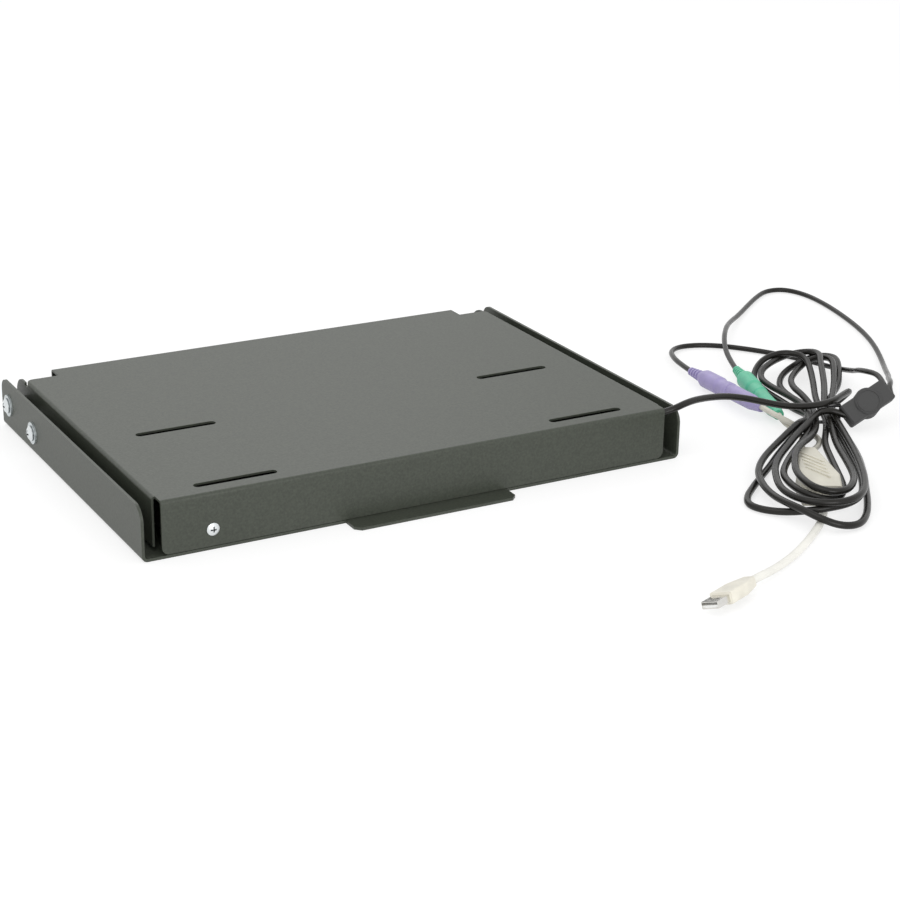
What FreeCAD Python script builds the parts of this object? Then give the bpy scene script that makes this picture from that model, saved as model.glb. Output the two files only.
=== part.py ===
"""Fold-away wall-mount keyboard tray.

A bent-steel pan carries a keyboard with a touchpad. A bent-steel wall bracket is pivoted to the pan's
side walls and closes over it. The tray is modelled shut, pan down, in millimetres: X runs along the
front edge, Y from the pull tab to the pivot and Z up. The keyboard's lead lies beside the tray.
"""
import FreeCAD, Part
import math
import os

from FreeCAD import Vector

os.makedirs("parts", exist_ok=True)

# Tray pan
PAN_WIDTH = 406.4
PAN_DEPTH = 279.4
PAN_SHEET = 2.0
PAN_BEND = 4.0
WALL_HEIGHT = 37.0
WALL_FRONT_ROUND = 11.0
WALL_REAR_ROUND = 9.0
PULL_WIDTH = 122.0
PULL_DEPTH = 16.0
PULL_CORNER = 4.0
LIP_INSET = 14.0
LIP_RELIEF = 2.5

# Wall bracket
BRACKET_SHEET = 1.5
BRACKET_BEND = 2.5
BRACKET_TOP = 39.2
SIDE_GAP = 9.2
SKIRT_LIFT = 3.0
SKIRT_SETBACK = 10.0
FLANGE_INSET = 2.5
FLANGE_CLEARANCE = 0.4
FLANGE_ROUND = 5.0
NOTCH_DEPTH = 16.2
NOTCH_WIDTH = 25.0
TAB_FLANGE_DROP = 27.0
TAB_REACH = 10.0
PLATE_CORNER = 6.0
EAR_REACH = 15.5
EAR_DROP = 2.1
EAR_ROUND = 14.0
EAR_HEEL_ROUND = 14.0
EAR_RELIEF = 1.5
EAR_TOP_ROUND = 1.0

# Wall-screw slots in the bracket
SLOT_LENGTH = 58.0
SLOT_WIDTH = 6.5
SLOT_SPACING_X = 264.6
SLOT_SPACING_Y = 101.6
SLOT_FROM_FRONT = 15.0

# Pivot bolts and stop bolts
PIVOT_FROM_REAR = 15.7
PIVOT_HEIGHT = 19.8
STOP_FORWARD = 53.4
STOP_DROP = 3.3
SHANK_DIAMETER = 6.35
SHANK_END = 1.0
HEAD_DIAMETER = 11.0
HEAD_HEIGHT = 3.3
HEAD_EDGE = 1.0
RECESS_SPAN = 6.2
RECESS_BLADE = 1.2
RECESS_DEPTH = 2.2
RECESS_TIP = 1.4
WASHER_DIAMETER = 15.9
WASHER_THICKNESS = 1.3
BUSH_DIAMETER = 11.0
NUT_FLATS = 11.1
NUT_HEIGHT = 4.2
NUT_COLLAR_DIAMETER = 9.6
NUT_COLLAR_HEIGHT = 1.6
FIT_CLEARANCE = 0.08
SIDE_PLAY = 0.2
STOP_CLEARANCE = 0.3

# Catch behind the front flange
CATCH_FROM_END = 34.6
CATCH_HEIGHT = 14.0
CATCH_WIDTH = 26.0
CATCH_DEPTH = 11.0
CATCH_TALL = 20.0
CATCH_EDGE = 1.5
MAGNET_WIDTH = 20.0
MAGNET_DEPTH = 6.0
MAGNET_THICKNESS = 3.0
MAGNET_CLEARANCE = 0.4
CATCH_SCREW_DIAMETER = 4.0
CATCH_SCREW_LENGTH = 8.0
CATCH_HEAD_DIAMETER = 8.6
CATCH_HEAD_HEIGHT = 1.9
CATCH_RECESS = 0.85

# Keyboard
KEYBOARD_WIDTH = 352.0
KEYBOARD_DEPTH = 178.0
KEYBOARD_SETBACK = 18.0
KEYBOARD_CORNER = 7.0
STRIP_THICKNESS = 2.0
STRIP_LENGTH = 300.0
STRIP_WIDTH = 20.0
STRIP_INSET = 16.0
BASE_HEIGHT = 7.0
BASE_WALL = 2.4
TOP_FRONT_HEIGHT = 6.0
TOP_REAR_HEIGHT = 14.0
TOP_SKIN = 2.4
TOP_EDGE_ROUND = 2.0

# Keys, in the keyboard's sloping top
KEY_PITCH = 19.05
KEY_GAP = 1.4
KEY_SMALL_DEPTH = 13.0
KEY_TAPER = 1.6
KEY_FRONT_SHARE = 0.6
KEY_REAR_SHARE = 1.2
KEY_LIFT = 0.8
KEY_CAP = 5.2
STEM_SIZE = 6.0
KEYS_REAR_MARGIN = 12.0
WELL_MARGIN = 1.6
PLATE_THICKNESS = 1.2
PLATE_LAP = 4.0
SPACE_STEM_REACH = 4.0
GUIDE_CLEARANCE = 0.3

# Touchpad and its buttons
TOUCHPAD_WIDTH = 66.0
TOUCHPAD_DEPTH = 30.0
TOUCHPAD_THICKNESS = 1.2
TOUCHPAD_PROUD = 0.3
TOUCHPAD_FROM_FRONT = 20.0
BUTTON_DEPTH = 9.0
BUTTON_FROM_FRONT = 8.0
BUTTON_PROUD = 1.4
BUTTON_SPLIT = 1.2
LENS_DIAMETER = 3.0
LENS_SPACING = 9.0
LENS_COUNT = 3
LENS_PROUD = 0.4

# Lead and connectors
RELIEF_OFFSET = 100.0
RELIEF_SWAY = 2.0
RELIEF_LENGTH = 25.7
RELIEF_ROOT = 9.0
RELIEF_TIP = 6.4
LEAD_DIAMETER = 5.0
TAIL_DIAMETER = 4.2
ADAPTER_LEAD_DIAMETER = 4.2
USB_LEAD_DIAMETER = 5.4
CONNECTOR_LENGTH = 104.0
GRIP_DIAMETER = 14.0
GRIP_LENGTH = 27.0
GRIP_SHOULDER = 3.0
NOSE_DIAMETER = 12.0
PLUG_BODY = 34.0
PLUG_RELIEF = 20.0
PLUG_RELIEF_TIP = 6.4
PLUG_RIBS = 5
PLUG_RIB_DEPTH = 0.7
PLUG_RIB_WALL = 0.3
PLUG_RIB_STEP = 1.2
SOCKET_DIAMETER = 13.0
SOCKET_TAPER = 14.0
SOCKET_TIP = 8.0
SOCKET_RIM = 6.0
SOCKET_RIM_STEP = 0.5
SPLITTER_LENGTH = 40.0
SPLITTER_WIDTH = 17.0
SPLITTER_THICKNESS = 10.5
SPLITTER_BOSS = 21.0
SPLITTER_BOSS_THICKNESS = 13.0
SPLITTER_YAW = -3.0
SPLITTER_PITCH = 25.0
SPLITTER_ROLL = 46.0
SPLITTER_EDGE = 1.0
SPLITTER_BOSS_EDGE = 0.8
SPLITTER_ROOM = 0.5
TAIL_SPACING = 8.2
ADAPTER_NARROW = 13.0
ADAPTER_WIDE = 30.0
ADAPTER_THIN = 10.0
ADAPTER_THICK = 15.0
ADAPTER_EDGE = 2.0
ADAPTER_WIDE_AT = 0.7
ADAPTER_END_SHARE = 0.9
ADAPTER_LEAD_SPACING = 7.0
USB_EXIT_DROP = 2.2
USB_BODY_LENGTH = 32.0
USB_BODY_WIDTH = 16.0
USB_BODY_THICKNESS = 8.0
USB_BODY_REAR = 9.0
USB_REAR_THICKNESS = 7.0
USB_WAIST_AT = 0.45
USB_EDGE = 1.6
USB_ROLL = 20.0
USB_SHELL_LENGTH = 13.0
USB_SHELL_WIDTH = 12.0
USB_SHELL_HEIGHT = 4.5
USB_SHELL_WALL = 0.4
USB_WINDOW = 2.4
USB_WINDOW_SPACING = 5.0
USB_WINDOW_SETBACK = 5.0
USB_TONGUE_HEIGHT = 1.8
USB_TONGUE_SETBACK = 0.6
HANK_HEIGHT = 14.0
HANK_FLOOR = 0.3
HANK_BAND = 14.0
HANK_STUB = 9.0
NECK_WIDTH = 24.0
NECK_LIFT = 2.0
TIE_WIDTH = 5.0
TIE_THICKNESS = 1.0
TIE_CLEARANCE = 0.2
GROOVE_CLEARANCE = 0.4
FLOOR_CLEARANCE = 0.2
BEND_SHARE = 0.45

# Places that follow from the sizes above
HALF = PAN_WIDTH / 2
FRONT = -(PAN_DEPTH - PULL_DEPTH) / 2
REAR = FRONT + PAN_DEPTH
WALL_INNER = HALF - PAN_SHEET
SKIRT_OUTER = WALL_INNER - SIDE_GAP
SKIRT_INNER = SKIRT_OUTER - BRACKET_SHEET
SKIRT_BOTTOM = PAN_SHEET + SKIRT_LIFT
SKIRT_FRONT = FRONT + SKIRT_SETBACK
FLANGE_HALF = SKIRT_OUTER - FLANGE_INSET
FLANGE_BOTTOM = PAN_SHEET + FLANGE_CLEARANCE
CATCH_X = CATCH_FROM_END - FLANGE_HALF
PIVOT_Y = REAR - PIVOT_FROM_REAR
STOP_Y = PIVOT_Y - STOP_FORWARD
STOP_HEIGHT = PIVOT_HEIGHT - STOP_DROP
PLATE_UNDER = BRACKET_TOP - BRACKET_SHEET
EAR_REAR = PIVOT_Y + EAR_REACH
TAB_REAR = PIVOT_Y + TAB_REACH
PLATE_REAR = TAB_REAR - NOTCH_DEPTH
TAB_HALF = SKIRT_OUTER - NOTCH_WIDTH
LIP_TOP = PIVOT_HEIGHT - TAB_REACH - STOP_CLEARANCE
LIP_HALF = HALF - LIP_INSET
SHANK_RADIUS = SHANK_DIAMETER / 2
KEYBOARD_FRONT = FRONT + KEYBOARD_SETBACK
KEYBOARD_REAR = KEYBOARD_FRONT + KEYBOARD_DEPTH
BASE_BOTTOM = PAN_SHEET + STRIP_THICKNESS
BASE_TOP = BASE_BOTTOM + BASE_HEIGHT
PLUG_AXIS_HEIGHT = GRIP_DIAMETER / 2 + FLOOR_CLEARANCE
USB_TILT = math.radians(USB_ROLL)
USB_TALL = USB_BODY_WIDTH * math.sin(USB_TILT) + USB_BODY_THICKNESS * math.cos(USB_TILT)
USB_HEIGHT = USB_TALL / 2 + FLOOR_CLEARANCE
ADAPTER_HEIGHT = ADAPTER_THICK / 2 + FLOOR_CLEARANCE
SLOPE = math.degrees(math.atan2(TOP_REAR_HEIGHT - TOP_FRONT_HEIGHT, KEYBOARD_DEPTH))

# Key widths in each row, in key pitches, from left to right
FUNCTION_ROW = [1.0] * 17
NUMBER_ROW = [1.0] * 13 + [2.0, 1.0, 1.0]
UPPER_ROW = [1.5] + [1.0] * 12 + [1.5, 1.0, 1.0]
HOME_ROW = [1.75] + [1.0] * 11 + [2.25, 1.0, 1.0]
LOWER_ROW = [2.25] + [1.0] * 10 + [1.75, 1.0, 1.0, 1.0]
BOTTOM_ROW_LEFT = [1.25, 1.0, 1.25, 1.25]
SPACE_UNITS = 5.25
BOTTOM_ROW_RIGHT = [1.0] * 7
ROW_UNITS = sum(NUMBER_ROW)

# Middle stretches of the free leads, chosen by hand. The floor is at zero height.
LEAD_ROUTE = [
    (104.5, 101, 9.6), (114, 110.5, 7.2), (130, 112, 5.6), (147, 105, 5), (162, 93, 5.1), (173.5, 77, 4.9),
    (180, 55, 5), (183, 30, 4.9), (183.5, 0, 5.2), (183, -32, 7.2), (182.5, -62, 13), (182.5, -87, 21),
    (183, -104, 27), (183.8, -116.5, 31), (188.6, -126, 33.9), (197.6, -130.4, 37.2), (208.5, -129, 39.4),
    (221.5, -124.5, 38.8), (237.5, -120, 36.6), (253.5, -117.6, 34), (268.5, -118.6, 30.6),
    (282.5, -123.2, 26.8), (294, -126.4, 23.6), (305, -128.2, 20.6), (316.5, -129.2, 17.4),
    (327, -127.5, 13.6), (336.5, -123.5, 9.8)]
KEYBOARD_TAIL_ROUTE = [
    (391.5, -133, 30), (395.5, -122.5, 31), (396, -107.5, 28.5), (400, -92.5, 24), (405.6, -77.5, 18.8),
    (412, -61, 13), (417.5, -44, 8), (420.5, -26, 4.2), (418, -8, 2.5), (411, 9, 2.4), (402, 25, 2.5),
    (390.5, 42, 2.4), (376, 58, 2.5), (360, 68.5, 2.4), (343, 70.5, 2.7), (328.5, 61, 3.8), (319, 44, 5.4),
    (312.2, 24.5, 6.8)]
MOUSE_TAIL_ROUTE = [
    (391, -140.5, 26.4), (399.5, -132, 26.6), (409.5, -118, 22.8), (420.5, -102.5, 17.4), (432.5, -86, 12),
    (446, -68, 7.4), (460, -48.5, 4.2), (474, -28, 2.6), (488, -5, 2.4), (500.5, 20, 2.5), (511.5, 48, 2.4),
    (521, 81, 2.5), (528.5, 115, 2.4), (530.5, 145, 2.5), (523, 166, 2.4), (505, 168.5, 2.5), (486, 157, 2.4),
    (463, 139, 2.5), (438, 118, 3.2), (411, 95, 6.8), (390, 71.5, 10.4), (370, 45.5, 10.6), (354, 18, 8.2)]
FIRST_ADAPTER_ROUTE = [
    (298.4, -110, 13.2), (302.5, -120.5, 13.4), (310.5, -128.5, 10.2), (316.5, -136, 6), (318, -146, 3),
    (314.5, -155.5, 2.4), (305.5, -163.5, 2.8), (295.5, -170.5, 4.4), (287, -177.2, 6.4)]
SECOND_ADAPTER_ROUTE = [
    (306.9, -117, 5.4), (308.3, -127.5, 3.2), (306.5, -139, 2.4), (300.5, -150, 2.5), (292.5, -159.5, 3),
    (283.5, -169, 5.2)]
USB_ROUTE = [
    (231.5, -261.5, 4.8), (222, -273, 3.5), (208.5, -284.5, 2.9), (190.5, -298, 3), (172.5, -310, 2.9),
    (154, -320.5, 3.4), (138.5, -328.5, 4.6), (125, -334.6, 6)]

# Places where the pieces on the leads lie
PURPLE_START = (308.7, 3.5)
PURPLE_AIM = (299.5, -100.0)
PURPLE_RISE = 5.3
GREEN_START = (343.0, -9.5)
GREEN_AIM = (309.1, -110.1)
SPLITTER_START = (346.0, -141.0, 10.0)
ADAPTER_AXIS = ((278.0, -183.0), (238.0, -251.0))
USB_AXIS = ((112.3, -339.7), (70.6, -356.6))
NEAR_LOBE = [((331, -137), 12.0), ((238, -268), 24.0), ((217, -220), 24.0)]
FAR_LOBE = [((347, -109), 11.0), ((370, -38), 19.0), ((396, -34), 19.0)]


# Small helpers

def corner_arc(before, corner, after, radius):
    """The start, middle and end of the arc that rounds one corner."""
    back = (before - corner).normalize()
    ahead = (after - corner).normalize()
    half_angle = back.getAngle(ahead) / 2
    reach = radius / math.tan(half_angle)
    inward = (back + ahead).normalize()
    centre = corner + inward * (radius / math.sin(half_angle))
    return corner + back * reach, centre - inward * radius, corner + ahead * reach


def rounded_wire(points, radii, closed=True):
    """A wire through points, with each corner rounded to its own radius."""
    count = len(points)
    edges = []
    last = None
    first = None
    for i, corner in enumerate(points):
        radius = radii[i]
        is_end = not closed and i in (0, count - 1)
        if radius > 0 and not is_end:
            start, middle, end = corner_arc(points[i - 1], corner, points[(i + 1) % count], radius)
        else:
            start, middle, end = corner, None, corner
        if last is not None and (start - last).Length > 1e-6:
            edges.append(Part.LineSegment(last, start).toShape())
        if middle is not None:
            edges.append(Part.Arc(start, middle, end).toShape())
        if first is None:
            first = start
        last = end
    if closed and (first - last).Length > 1e-6:
        edges.append(Part.LineSegment(last, first).toShape())
    return Part.Wire(edges)


def prism(points, radii, along):
    """A solid from a rounded outline pushed along a vector."""
    return Part.Face(rounded_wire(points, radii)).extrude(along)


def box(low, high):
    """A box between two corners."""
    size = [b - a for a, b in zip(low, high)]
    return Part.makeBox(*size, Vector(*low))


def rod(diameter, start, end, bore=0.0):
    """A round bar, or a tube with a bore, from one point to another."""
    start = Vector(*start)
    axis = Vector(*end) - start
    bar = Part.makeCylinder(diameter / 2, axis.Length, start, axis)
    if bore > 0:
        bar = bar.cut(Part.makeCylinder(bore / 2, axis.Length, start, axis))
    return bar


def mirrored(shape):
    """The same shape on the other side of the tray."""
    return shape.mirror(Vector(0, 0, 0), Vector(1, 0, 0))


def both_sides(shape):
    """A shape and its mirror image as two separate solids."""
    return Part.makeCompound([shape, mirrored(shape)])


def round_edges(shape, radius, centres):
    """Rounds the edges whose middles lie at the given points."""
    chosen = []
    for edge in shape.Edges:
        if any((edge.CenterOfMass - Vector(*centre)).Length < 0.05 for centre in centres):
            chosen.append(edge)
    return shape.makeFillet(radius, chosen)


def upright_edges(shape):
    """The straight edges of a shape that stand upright."""
    found = []
    for edge in shape.Edges:
        ends = [vertex.Point for vertex in edge.Vertexes]
        if len(ends) == 2 and abs(ends[0].x - ends[1].x) < 1e-6 and abs(ends[0].y - ends[1].y) < 1e-6:
            found.append(edge)
    return found


def aimed(shape, start, yaw, pitch=0.0, roll=0.0):
    """Turns a shape that points along +X and moves its origin to start."""
    shape = shape.copy()
    shape.rotate(Vector(0, 0, 0), Vector(1, 0, 0), roll)
    shape.rotate(Vector(0, 0, 0), Vector(0, 1, 0), -pitch)
    shape.rotate(Vector(0, 0, 0), Vector(0, 0, 1), yaw)
    shape.translate(Vector(*start))
    return shape


def turned(profile, start, direction):
    """A solid of revolution from (along, radius) points, pointing along a direction."""
    points = [Vector(along, radius, 0) for along, radius in profile]
    outline = Part.makePolygon(points + [points[0]])
    solid = Part.Face(outline).revolve(Vector(0, 0, 0), Vector(1, 0, 0), 360)
    turn = FreeCAD.Rotation(Vector(1, 0, 0), Vector(*direction))
    solid.Placement = FreeCAD.Placement(Vector(*start), turn)
    return solid


# Tray pan

def tray_pan():
    """The pan: floor, two bent-up walls, pull tab and the rear lip that stops the bracket."""
    inner = PAN_BEND - PAN_SHEET
    outline = [Vector(-HALF, FRONT, WALL_HEIGHT), Vector(-HALF, FRONT, 0), Vector(HALF, FRONT, 0),
               Vector(HALF, FRONT, WALL_HEIGHT), Vector(WALL_INNER, FRONT, WALL_HEIGHT),
               Vector(WALL_INNER, FRONT, PAN_SHEET), Vector(-WALL_INNER, FRONT, PAN_SHEET),
               Vector(-WALL_INNER, FRONT, WALL_HEIGHT)]
    pan = prism(outline, [0, PAN_BEND, PAN_BEND, 0, 0, inner, inner, 0], Vector(0, PAN_DEPTH, 0))
    wall_middle = HALF - PAN_SHEET / 2
    sides = (-wall_middle, wall_middle)
    pan = round_edges(pan, WALL_FRONT_ROUND, [(x, FRONT, WALL_HEIGHT) for x in sides])
    pan = round_edges(pan, WALL_REAR_ROUND, [(x, REAR, WALL_HEIGHT) for x in sides])
    pan = pan.fuse(pull_tab())
    lip_room = box((-LIP_HALF - LIP_RELIEF, REAR - PAN_BEND - LIP_RELIEF, -1),
                   (LIP_HALF + LIP_RELIEF, REAR + 1, PAN_SHEET + inner + 1))
    pan = pan.cut(lip_room).fuse(rear_lip()).removeSplitter()
    for y, z in ((PIVOT_Y, PIVOT_HEIGHT), (STOP_Y, STOP_HEIGHT)):
        hole = SHANK_DIAMETER + 2 * FIT_CLEARANCE
        pan = pan.cut(rod(hole, (-HALF - 1, y, z), (HALF + 1, y, z)))
    return pan


def pull_tab():
    """The finger tab in the floor's plane, with cut corners."""
    half = PULL_WIDTH / 2
    tip = FRONT - PULL_DEPTH
    points = [(-half, FRONT), (-half, tip + PULL_CORNER), (-half + PULL_CORNER, tip),
              (half - PULL_CORNER, tip), (half, tip + PULL_CORNER), (half, FRONT)]
    outline = [Vector(x, y, 0) for x, y in points]
    return prism(outline, [0] * len(outline), Vector(0, 0, PAN_SHEET))


def rear_lip():
    """The floor's rear edge bent up: the bracket's rear flange lands on it when the tray is open."""
    start = REAR - PAN_BEND - LIP_RELIEF
    inner = PAN_BEND - PAN_SHEET
    outline = [Vector(-LIP_HALF, start, 0), Vector(-LIP_HALF, REAR, 0), Vector(-LIP_HALF, REAR, LIP_TOP),
               Vector(-LIP_HALF, REAR - PAN_SHEET, LIP_TOP), Vector(-LIP_HALF, REAR - PAN_SHEET, PAN_SHEET),
               Vector(-LIP_HALF, start, PAN_SHEET)]
    return prism(outline, [0, PAN_BEND, 0, 0, inner, 0], Vector(2 * LIP_HALF, 0, 0))


# Wall bracket

def wall_bracket():
    """The bracket: plate with slots, front flange, rear tab, skirts with ears and stop notches."""
    plate = skirts_and_plate().cut([plate_corner(), mirrored(plate_corner())])
    bracket = plate.fuse([front_flange(), rear_tab(), ear(), mirrored(ear())]).removeSplitter()
    for x in (-SLOT_SPACING_X / 2, SLOT_SPACING_X / 2):
        for row in (0, 1):
            bracket = bracket.cut(wall_slot(x, FRONT + SLOT_FROM_FRONT + row * SLOT_SPACING_Y))
    hole = SHANK_DIAMETER + 2 * FIT_CLEARANCE
    bracket = bracket.cut(rod(hole, (-HALF, PIVOT_Y, PIVOT_HEIGHT), (HALF, PIVOT_Y, PIVOT_HEIGHT)))
    bracket = bracket.cut(stop_notch())
    screw_hole = CATCH_SCREW_DIAMETER + 2 * FIT_CLEARANCE
    screw_start = (CATCH_X, FRONT - 1, CATCH_HEIGHT)
    screw_end = (CATCH_X, FRONT + BRACKET_SHEET + 1, CATCH_HEIGHT)
    return bracket.cut(rod(screw_hole, screw_start, screw_end))


def skirts_and_plate():
    """The plate with a skirt bent down along each side."""
    inner = BRACKET_BEND - BRACKET_SHEET
    outline = [Vector(-SKIRT_OUTER, SKIRT_FRONT, SKIRT_BOTTOM), Vector(-SKIRT_OUTER, SKIRT_FRONT, BRACKET_TOP),
               Vector(SKIRT_OUTER, SKIRT_FRONT, BRACKET_TOP), Vector(SKIRT_OUTER, SKIRT_FRONT, SKIRT_BOTTOM),
               Vector(SKIRT_INNER, SKIRT_FRONT, SKIRT_BOTTOM), Vector(SKIRT_INNER, SKIRT_FRONT, PLATE_UNDER),
               Vector(-SKIRT_INNER, SKIRT_FRONT, PLATE_UNDER), Vector(-SKIRT_INNER, SKIRT_FRONT, SKIRT_BOTTOM)]
    radii = [0, BRACKET_BEND, BRACKET_BEND, 0, 0, inner, inner, 0]
    return prism(outline, radii, Vector(0, PLATE_REAR - SKIRT_FRONT, 0))


def bent_flange(face, away, bottom, half):
    """A strip of the plate that ends in a flange bent down, whose outer face is at Y = face."""
    root = face + away * SKIRT_SETBACK
    inside = face + away * BRACKET_SHEET
    outline = [Vector(-half, root, BRACKET_TOP), Vector(-half, face, BRACKET_TOP), Vector(-half, face, bottom),
               Vector(-half, inside, bottom), Vector(-half, inside, PLATE_UNDER),
               Vector(-half, root, PLATE_UNDER)]
    inner = BRACKET_BEND - BRACKET_SHEET
    return prism(outline, [0, BRACKET_BEND, 0, 0, inner, 0], Vector(2 * half, 0, 0))


def front_flange():
    """The front flange, with rounded lower corners."""
    flange = bent_flange(FRONT, 1, FLANGE_BOTTOM, FLANGE_HALF)
    middle = FRONT + BRACKET_SHEET / 2
    return round_edges(flange, FLANGE_ROUND, [(x, middle, FLANGE_BOTTOM) for x in (-FLANGE_HALF, FLANGE_HALF)])


def rear_tab():
    """The plate's rear tab, between the notches, with its flange bent down."""
    root_strip = box((-TAB_HALF, PLATE_REAR - 1, PLATE_UNDER), (TAB_HALF, TAB_REAR - BRACKET_BEND, BRACKET_TOP))
    return bent_flange(TAB_REAR, -1, BRACKET_TOP - TAB_FLANGE_DROP, TAB_HALF).fuse(root_strip)


def ear():
    """The right skirt's rear end, which stands behind the plate and takes the pivot bolt."""
    bend_foot = BRACKET_TOP - BRACKET_BEND
    top = BRACKET_TOP - EAR_DROP
    start = PLATE_REAR - EAR_RELIEF
    outline = [Vector(SKIRT_INNER, start, SKIRT_BOTTOM), Vector(SKIRT_INNER, EAR_REAR, SKIRT_BOTTOM),
               Vector(SKIRT_INNER, EAR_REAR, top), Vector(SKIRT_INNER, PLATE_REAR + EAR_RELIEF, top),
               Vector(SKIRT_INNER, PLATE_REAR + EAR_RELIEF, bend_foot - EAR_RELIEF),
               Vector(SKIRT_INNER, start, bend_foot - EAR_RELIEF)]
    return prism(outline, [0, EAR_HEEL_ROUND, EAR_ROUND, EAR_TOP_ROUND, 0, 0], Vector(BRACKET_SHEET, 0, 0))


def plate_corner():
    """What is taken off the plate's rear right corner to leave a round one."""
    x = SKIRT_OUTER - PLATE_CORNER
    y = PLATE_REAR - PLATE_CORNER
    foot = BRACKET_TOP - BRACKET_BEND - EAR_RELIEF
    block = box((x, y, foot), (SKIRT_OUTER + 1, PLATE_REAR + 1, BRACKET_TOP + 1))
    return block.cut(rod(2 * PLATE_CORNER, (x, y, foot - 1), (x, y, BRACKET_TOP + 2)))


def wall_slot(x, y):
    """The cutter for one slot that takes a wall screw."""
    reach = (SLOT_LENGTH - SLOT_WIDTH) / 2
    bottom = PLATE_UNDER - 1
    tall = BRACKET_SHEET + 2
    ends = [Part.makeCylinder(SLOT_WIDTH / 2, tall, Vector(x + side * reach, y, bottom)) for side in (-1, 1)]
    middle = box((x - reach, y - SLOT_WIDTH / 2, bottom), (x + reach, y + SLOT_WIDTH / 2, bottom + tall))
    return middle.fuse(ends)


def stop_notch():
    """The cutter for both skirts' notches, curved about the pivot so that the stop bolts can leave them."""
    half_width = SHANK_RADIUS + STOP_CLEARANCE
    radius = math.hypot(STOP_FORWARD, STOP_DROP)
    span = 2 * SKIRT_OUTER + 2
    start = Vector(-SKIRT_OUTER - 1, PIVOT_Y, PIVOT_HEIGHT)
    ring = Part.makeCylinder(radius + half_width, span, start, Vector(1, 0, 0))
    ring = ring.cut(Part.makeCylinder(radius - half_width, span, start, Vector(1, 0, 0)))
    below = box((-SKIRT_OUTER - 1, STOP_Y - 2 * half_width, SKIRT_BOTTOM - 1),
                (SKIRT_OUTER + 1, STOP_Y + 3 * half_width, STOP_HEIGHT))
    seat = rod(2 * half_width, (-SKIRT_OUTER - 1, STOP_Y, STOP_HEIGHT), (SKIRT_OUTER + 1, STOP_Y, STOP_HEIGHT))
    return ring.common(below).fuse(seat)


# Bolts and what is on them

def cross_recess(span, blade, depth, tip):
    """The cutter for a cross recess, opening at X = 0 and pointing along -X."""
    blades = [box((-depth, -span / 2, -blade / 2), (1, span / 2, blade / 2)),
              box((-depth, -blade / 2, -span / 2), (1, blade / 2, span / 2))]
    cone = Part.makeCone(tip / 2, span / 2, depth, Vector(-depth, 0, 0), Vector(1, 0, 0))
    mouth = Part.makeCylinder(span / 2, 1, Vector(0, 0, 0), Vector(1, 0, 0))
    return blades[0].fuse(blades[1]).common(cone.fuse(mouth))


def pan_head(diameter, height, edge):
    """A domed screw head that stands on X = 0 and points along +X."""
    radius = diameter / 2
    rise = height - edge
    dome = (radius * radius + rise * rise) / (2 * rise)
    body = Part.makeCylinder(radius, height, Vector(0, 0, 0), Vector(1, 0, 0))
    return body.common(Part.makeSphere(dome, Vector(height - dome, 0, 0)))


def bolt(y, height):
    """One right-hand bolt: head outside the wall, shank in to just past the nut."""
    seat = HALF + WASHER_THICKNESS
    head = pan_head(HEAD_DIAMETER, HEAD_HEIGHT, HEAD_EDGE)
    recess = cross_recess(RECESS_SPAN, RECESS_BLADE, RECESS_DEPTH, RECESS_TIP)
    recess.translate(Vector(HEAD_HEIGHT, 0, 0))
    end = nut_end() - SHANK_END
    shank = rod(SHANK_DIAMETER, (0, 0, 0), (end - seat, 0, 0))
    whole = head.cut(recess).fuse(shank).removeSplitter()
    whole.translate(Vector(seat, y, height))
    return whole


def inner_washer_face():
    """X of the inner washers' face that the nuts bear on."""
    return SKIRT_INNER - SIDE_PLAY - WASHER_THICKNESS


def nut_end():
    """X of the lock nuts' inner ends, without the bolts' tips."""
    return inner_washer_face() - NUT_HEIGHT - NUT_COLLAR_HEIGHT


def on_each_bolt(make):
    """The same right-hand piece on both bolts, with its mirror images: four separate solids."""
    solids = []
    for y, z in ((PIVOT_Y, PIVOT_HEIGHT), (STOP_Y, STOP_HEIGHT)):
        piece = make(y, z)
        solids += [piece, mirrored(piece)]
    return Part.makeCompound(solids)


def head_washer(y, z):
    """The flat washer under one bolt's head."""
    hole = SHANK_DIAMETER + 2 * FIT_CLEARANCE
    return rod(WASHER_DIAMETER, (HALF, y, z), (HALF + WASHER_THICKNESS, y, z), hole)


def bush(y, z):
    """The spacer on one bolt, between the pan's wall and the skirt."""
    hole = SHANK_DIAMETER + 2 * FIT_CLEARANCE
    return rod(BUSH_DIAMETER, (SKIRT_OUTER + SIDE_PLAY, y, z), (WALL_INNER, y, z), hole)


def inner_washer(y, z):
    """The washer on one bolt, inside the skirt."""
    hole = SHANK_DIAMETER + 2 * FIT_CLEARANCE
    face = inner_washer_face()
    return rod(WASHER_DIAMETER, (face, y, z), (face + WASHER_THICKNESS, y, z), hole)


def lock_nut(y, z):
    """The hexagon nut with its collar, on one bolt's inner end."""
    face = inner_washer_face()
    corner = NUT_FLATS / math.sqrt(3)
    points = []
    for i in range(6):
        angle = math.radians(60 * i)
        points.append(Vector(face, y + corner * math.sin(angle), z + corner * math.cos(angle)))
    nut = prism(points, [0] * 6, Vector(-NUT_HEIGHT, 0, 0))
    nut = nut.fuse(rod(NUT_COLLAR_DIAMETER, (face - NUT_HEIGHT, y, z), (nut_end(), y, z)))
    return nut.cut(rod(SHANK_DIAMETER, (face + 1, y, z), (nut_end() - 1, y, z)))


# Catch

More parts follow.
